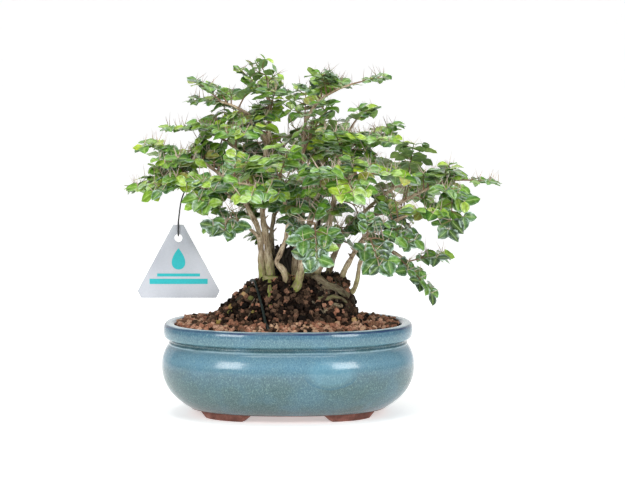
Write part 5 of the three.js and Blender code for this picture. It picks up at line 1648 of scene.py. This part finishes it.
class BONSAI_OT_stage(bpy.types.Operator):
    """Set up the paper sweep, the softboxes, the surround and the camera"""
    bl_idname = "bonsai.stage"
    bl_label = "Stage"

    def execute(self, context):
        settings = context.scene.bonsai_stage
        scene = context.scene
        bm = bmesh.new()
        half, bend = SWEEP["half"], SWEEP["bend"]
        rim = [bm.edges.new([bm.verts.new((x, -half, 0)) for x in (-half, half)])]
        moves = [(0, SWEEP["flat"], 0)]
        turns = [math.pi / 2 * i / 16 for i in range(17)]
        moves += [(0, bend * (math.sin(b) - math.sin(a)), bend * (math.cos(a) - math.cos(b)))
                  for a, b in zip(turns, turns[1:])]
        moves += [(0, 0, SWEEP["back"])]
        for move in moves:
            made = bmesh.ops.extrude_edge_only(bm, edges=rim)["geom"]
            fresh = verts_of(made)
            bmesh.ops.translate(bm, vec=move, verts=fresh)
            rim = [element for element in made if isinstance(element, bmesh.types.BMEdge)
                   and all(v in fresh for v in element.verts)]
        bmesh.ops.recalc_face_normals(bm, faces=bm.faces)
        mesh = bpy.data.meshes.new("paper_sweep")
        bm.to_mesh(mesh)
        bm.free()
        mesh.shade_smooth()
        mesh.materials.append(studio_paper())
        sweep = bpy.data.objects.new("paper_sweep", mesh)
        scene.collection.objects.link(sweep)
        sweep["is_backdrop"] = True

        surround = bpy.data.worlds.new("white_surround")
        surround.use_nodes = True
        surround.node_tree.nodes["Background"].inputs["Color"].default_value = (1, 1, 1, 1)
        surround.node_tree.nodes["Background"].inputs["Strength"].default_value = settings.surround
        scene.world = surround

        aim = POT_MIDDLE + Vector((0, 0, 0.1))
        for name, place, side, power in (
            ("left_softbox", (-0.75, -1.0, 0.62), 0.5, settings.box_power),
            ("right_softbox", (0.75, -1.0, 0.62), 0.5, settings.box_power),
            ("top_softbox", (0.0, -0.2, 1.5), 1.0, settings.top_power),
        ):
            light = bpy.data.lights.new(name, "AREA")
            light.size = side
            light.energy = power
            lamp = bpy.data.objects.new(name, light)
            lamp.location = POT_MIDDLE + Vector(place)
            lamp.rotation_euler = (aim - lamp.location).to_track_quat("-Z", "Y").to_euler()
            scene.collection.objects.link(lamp)

        camera = bpy.data.cameras.new("camera")
        camera.lens = settings.lens
        camera.sensor_width = 36
        eye = bpy.data.objects.new("camera", camera)
        eye.location = HOME @ VIEWPOINT
        eye.rotation_euler = (math.pi / 2 - settings.pitch, 0, 0)
        scene.collection.objects.link(eye)
        scene.camera = eye
        scene.view_settings.view_transform = "Standard"
        return {"FINISHED"}


OPERATORS = [BONSAI_OT_pot, BONSAI_OT_drain_meshes, BONSAI_OT_soil, BONSAI_OT_wood, BONSAI_OT_foliage,
             BONSAI_OT_anchor_wire, BONSAI_OT_tag, BONSAI_OT_stage]


class BONSAI_PT_panel(bpy.types.Panel):
    """Lists the pieces and their settings in the 3D view's sidebar"""
    bl_idname = "BONSAI_PT_panel"
    bl_label = "Damnacanthus Bonsai"
    bl_space_type = "VIEW_3D"
    bl_region_type = "UI"
    bl_category = "Bonsai"

    def draw(self, context):
        for operator in OPERATORS:
            self.layout.operator(operator.bl_idname)
        for name, group in SETTINGS.items():
            box = self.layout.box()
            for prop in group.__annotations__:
                box.prop(getattr(context.scene, name), prop)


CLASSES = [*SETTINGS.values(), *OPERATORS, BONSAI_PT_panel]


def register():
    for kind in CLASSES:
        bpy.utils.register_class(kind)
    for name, group in SETTINGS.items():
        setattr(bpy.types.Scene, name, PointerProperty(type=group))


def unregister():
    for name in SETTINGS:
        delattr(bpy.types.Scene, name)
    for kind in reversed(CLASSES):
        bpy.utils.unregister_class(kind)


def main():
    register()
    noise.seed_set(NOISE_SEED)
    bpy.ops.bonsai.pot()
    bpy.ops.bonsai.drain_meshes()
    bpy.ops.bonsai.soil()
    bpy.ops.bonsai.wood()
    bpy.ops.bonsai.foliage()
    bpy.ops.bonsai.anchor_wire()
    bpy.ops.bonsai.tag()
    bpy.ops.bonsai.stage()
    boxes = {"cad": CAD_BOX, "visual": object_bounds()}
    {name: [list(corner) for corner in box] for name, box in boxes.items()}


if __name__ == "__main__":
    main()
